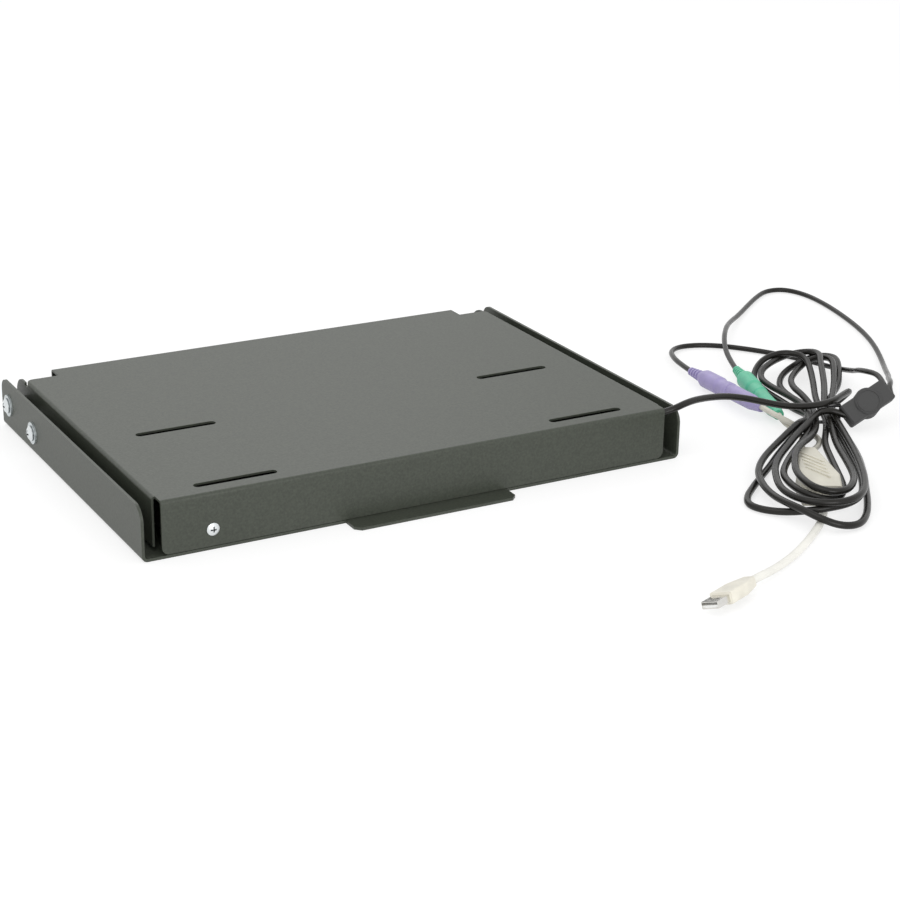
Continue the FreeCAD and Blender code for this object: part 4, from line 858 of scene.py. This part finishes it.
@dataclass(frozen=True)
class Lamp:
    """A soft square lamp.

    Attributes:
        name: Its name.
        place: Where it stands, in metres.
        size: How wide it is, in metres.
        power: In watts.
    """

    name: str
    place: Point
    size: float
    power: float

    def build(self, target: Point) -> None:
        """Makes the lamp and points it at the target."""
        data = bpy.data.lights.new(self.name, "AREA")
        data.size = self.size
        data.energy = self.power
        lamp = bpy.data.objects.new(self.name, data)
        lamp.location = self.place
        lamp.rotation_mode = "QUATERNION"
        lamp.rotation_quaternion = (Vector(target) - Vector(self.place)).to_track_quat("-Z", "Y")
        bpy.context.scene.collection.objects.link(lamp)


KEY_LAMP = Lamp("key_lamp", (-0.9, -0.5, 1.7), size=1.4, power=7.0)
REAR_LAMP = Lamp("rear_lamp", (0.5, 1.5, 1.4), size=1.2, power=5.0)
FRONT_LAMP = Lamp("front_lamp", (-0.2, -1.9, 0.4), size=1.2, power=13.0)


def grey(tone: float) -> tuple[float, float, float, float]:
    """A grey of the given tone, as linear light with full cover."""
    return (tone, tone, tone, 1.0)


@dataclass
class Studio:
    """The floor, the light and the camera. Lengths are in metres, angles in degrees.

    Attributes:
        target: The point on the floor that the middle of the picture shows.
        distance: From that point to the camera.
        azimuth: The camera's way round, from straight in front.
        elevation: Its angle above the floor.
        roll: Its tilt to one side.
        lens: Focal length in millimetres.
        sensor: The sensor's width in millimetres.
        sight: How far the camera sees.
        fill: Strength of the light from all round.
        lamps: The soft lamps.
        floor_half: Half the floor's width.
        floor_drop: How far the floor lies below the tray's underside.
        floor_tone: The floor's tone where it only throws light back.
        paper_tone: Its tone where it is seen.
        paper_glow: Its own glow where it is seen.
    """

    target: Point = (0.064571, -0.045484, 0.0)
    distance: float = 1.513236
    azimuth: float = -29.16
    elevation: float = 21.101
    roll: float = 0.907
    lens: float = 84.302
    sensor: float = 36.0
    sight: float = 50.0
    fill: float = 0.75
    lamps: tuple[Lamp, ...] = (KEY_LAMP, REAR_LAMP, FRONT_LAMP)
    floor_half: float = 6.0
    floor_drop: float = 0.0002
    floor_tone: float = 0.8
    paper_tone: float = 0.36
    paper_glow: float = 0.7

    def build(self) -> None:
        """Makes the floor, the light and the camera."""
        bpy.context.scene.view_settings.view_transform = "Standard"
        self.make_camera()
        self.make_floor()
        self.make_world()
        for lamp in self.lamps:
            lamp.build(self.target)

    def make_camera(self) -> None:
        """Makes the camera at the photograph's place."""
        azimuth = math.radians(self.azimuth)
        elevation = math.radians(self.elevation)
        level = math.cos(elevation)
        back = Vector((math.sin(azimuth) * level, -math.cos(azimuth) * level, math.sin(elevation)))
        right = (-back).cross(Vector((0, 0, 1))).normalized()
        up = right.cross(-back)
        turn = Matrix((right, up, back)).transposed().to_4x4()
        data = bpy.data.cameras.new("camera")
        data.lens = self.lens
        data.sensor_width = self.sensor
        data.clip_end = self.sight
        camera = bpy.data.objects.new("camera", data)
        camera.matrix_world = (Matrix.Translation(Vector(self.target) + back * self.distance)
                               @ turn @ Matrix.Rotation(math.radians(self.roll), 4, "Z"))
        bpy.context.scene.collection.objects.link(camera)
        bpy.context.scene.camera = camera

    def seen(self, tree: bpy.types.NodeTree) -> Socket:
        """A value of 1 for rays from the camera, a mirror or glass, and 0 for others.

        Args:
            tree: The node tree that the value is for.

        Returns:
            The value's socket.
        """
        path = tree.nodes.new("ShaderNodeLightPath")
        value = path.outputs["Is Camera Ray"]
        for name in ("Is Glossy Ray", "Is Transmission Ray"):
            larger = tree.nodes.new("ShaderNodeMath")
            larger.operation = "MAXIMUM"
            tree.links.new(value, larger.inputs[0])
            tree.links.new(path.outputs[name], larger.inputs[1])
            value = larger.outputs["Value"]
        return value

    def make_floor(self) -> None:
        """Makes the pale floor, which looks white and keeps the object's shadow."""
        half = self.floor_half
        low = -self.floor_drop
        mesh = bpy.data.meshes.new("floor")
        corners = [(-half, -half, low), (half, -half, low), (half, half, low), (-half, half, low)]
        mesh.from_pydata(corners, [], [(0, 1, 2, 3)])
        material = bpy.data.materials.new("pale_floor")
        material.use_nodes = True
        tree = material.node_tree
        tree.nodes.clear()
        output = tree.nodes.new("ShaderNodeOutputMaterial")
        plain = tree.nodes.new("ShaderNodeBsdfDiffuse")
        plain.inputs["Color"].default_value = grey(self.floor_tone)
        dimmed = tree.nodes.new("ShaderNodeBsdfDiffuse")
        dimmed.inputs["Color"].default_value = grey(self.paper_tone)
        glow = tree.nodes.new("ShaderNodeEmission")
        glow.inputs["Strength"].default_value = self.paper_glow
        paper = tree.nodes.new("ShaderNodeAddShader")
        choice = tree.nodes.new("ShaderNodeMixShader")
        tree.links.new(dimmed.outputs["BSDF"], paper.inputs[0])
        tree.links.new(glow.outputs["Emission"], paper.inputs[1])
        tree.links.new(self.seen(tree), choice.inputs["Fac"])
        tree.links.new(plain.outputs["BSDF"], choice.inputs[1])
        tree.links.new(paper.outputs["Shader"], choice.inputs[2])
        tree.links.new(choice.outputs["Shader"], output.inputs["Surface"])
        mesh.materials.append(material)
        floor = bpy.data.objects.new("floor", mesh)
        bpy.context.scene.collection.objects.link(floor)

    def make_world(self) -> None:
        """Makes the even light from all round, which looks white where it is seen."""
        world = bpy.data.worlds.new("studio")
        bpy.context.scene.world = world
        world.use_nodes = True
        tree = world.node_tree
        tree.nodes.clear()
        output = tree.nodes.new("ShaderNodeOutputWorld")
        background = tree.nodes.new("ShaderNodeBackground")
        strength = tree.nodes.new("ShaderNodeMapRange")
        strength.inputs["To Min"].default_value = self.fill
        strength.inputs["To Max"].default_value = 1.0
        tree.links.new(self.seen(tree), strength.inputs["Value"])
        tree.links.new(strength.outputs["Result"], background.inputs["Strength"])
        background.inputs["Color"].default_value = grey(1.0)
        tree.links.new(background.outputs["Background"], output.inputs["Surface"])


def main() -> None:
    """Builds the sub-assemblies in order, then the picture."""
    logging.basicConfig(level=logging.INFO, format="%(name)s: %(message)s")
    Tray().dress()
    WallBracket().dress()
    Keyboard().dress()
    Connectors().dress()
    SplitterRings().build()
    AdapterRibs().build()
    Leads().build()
    Studio().build()


if __name__ == "__main__":
    main()
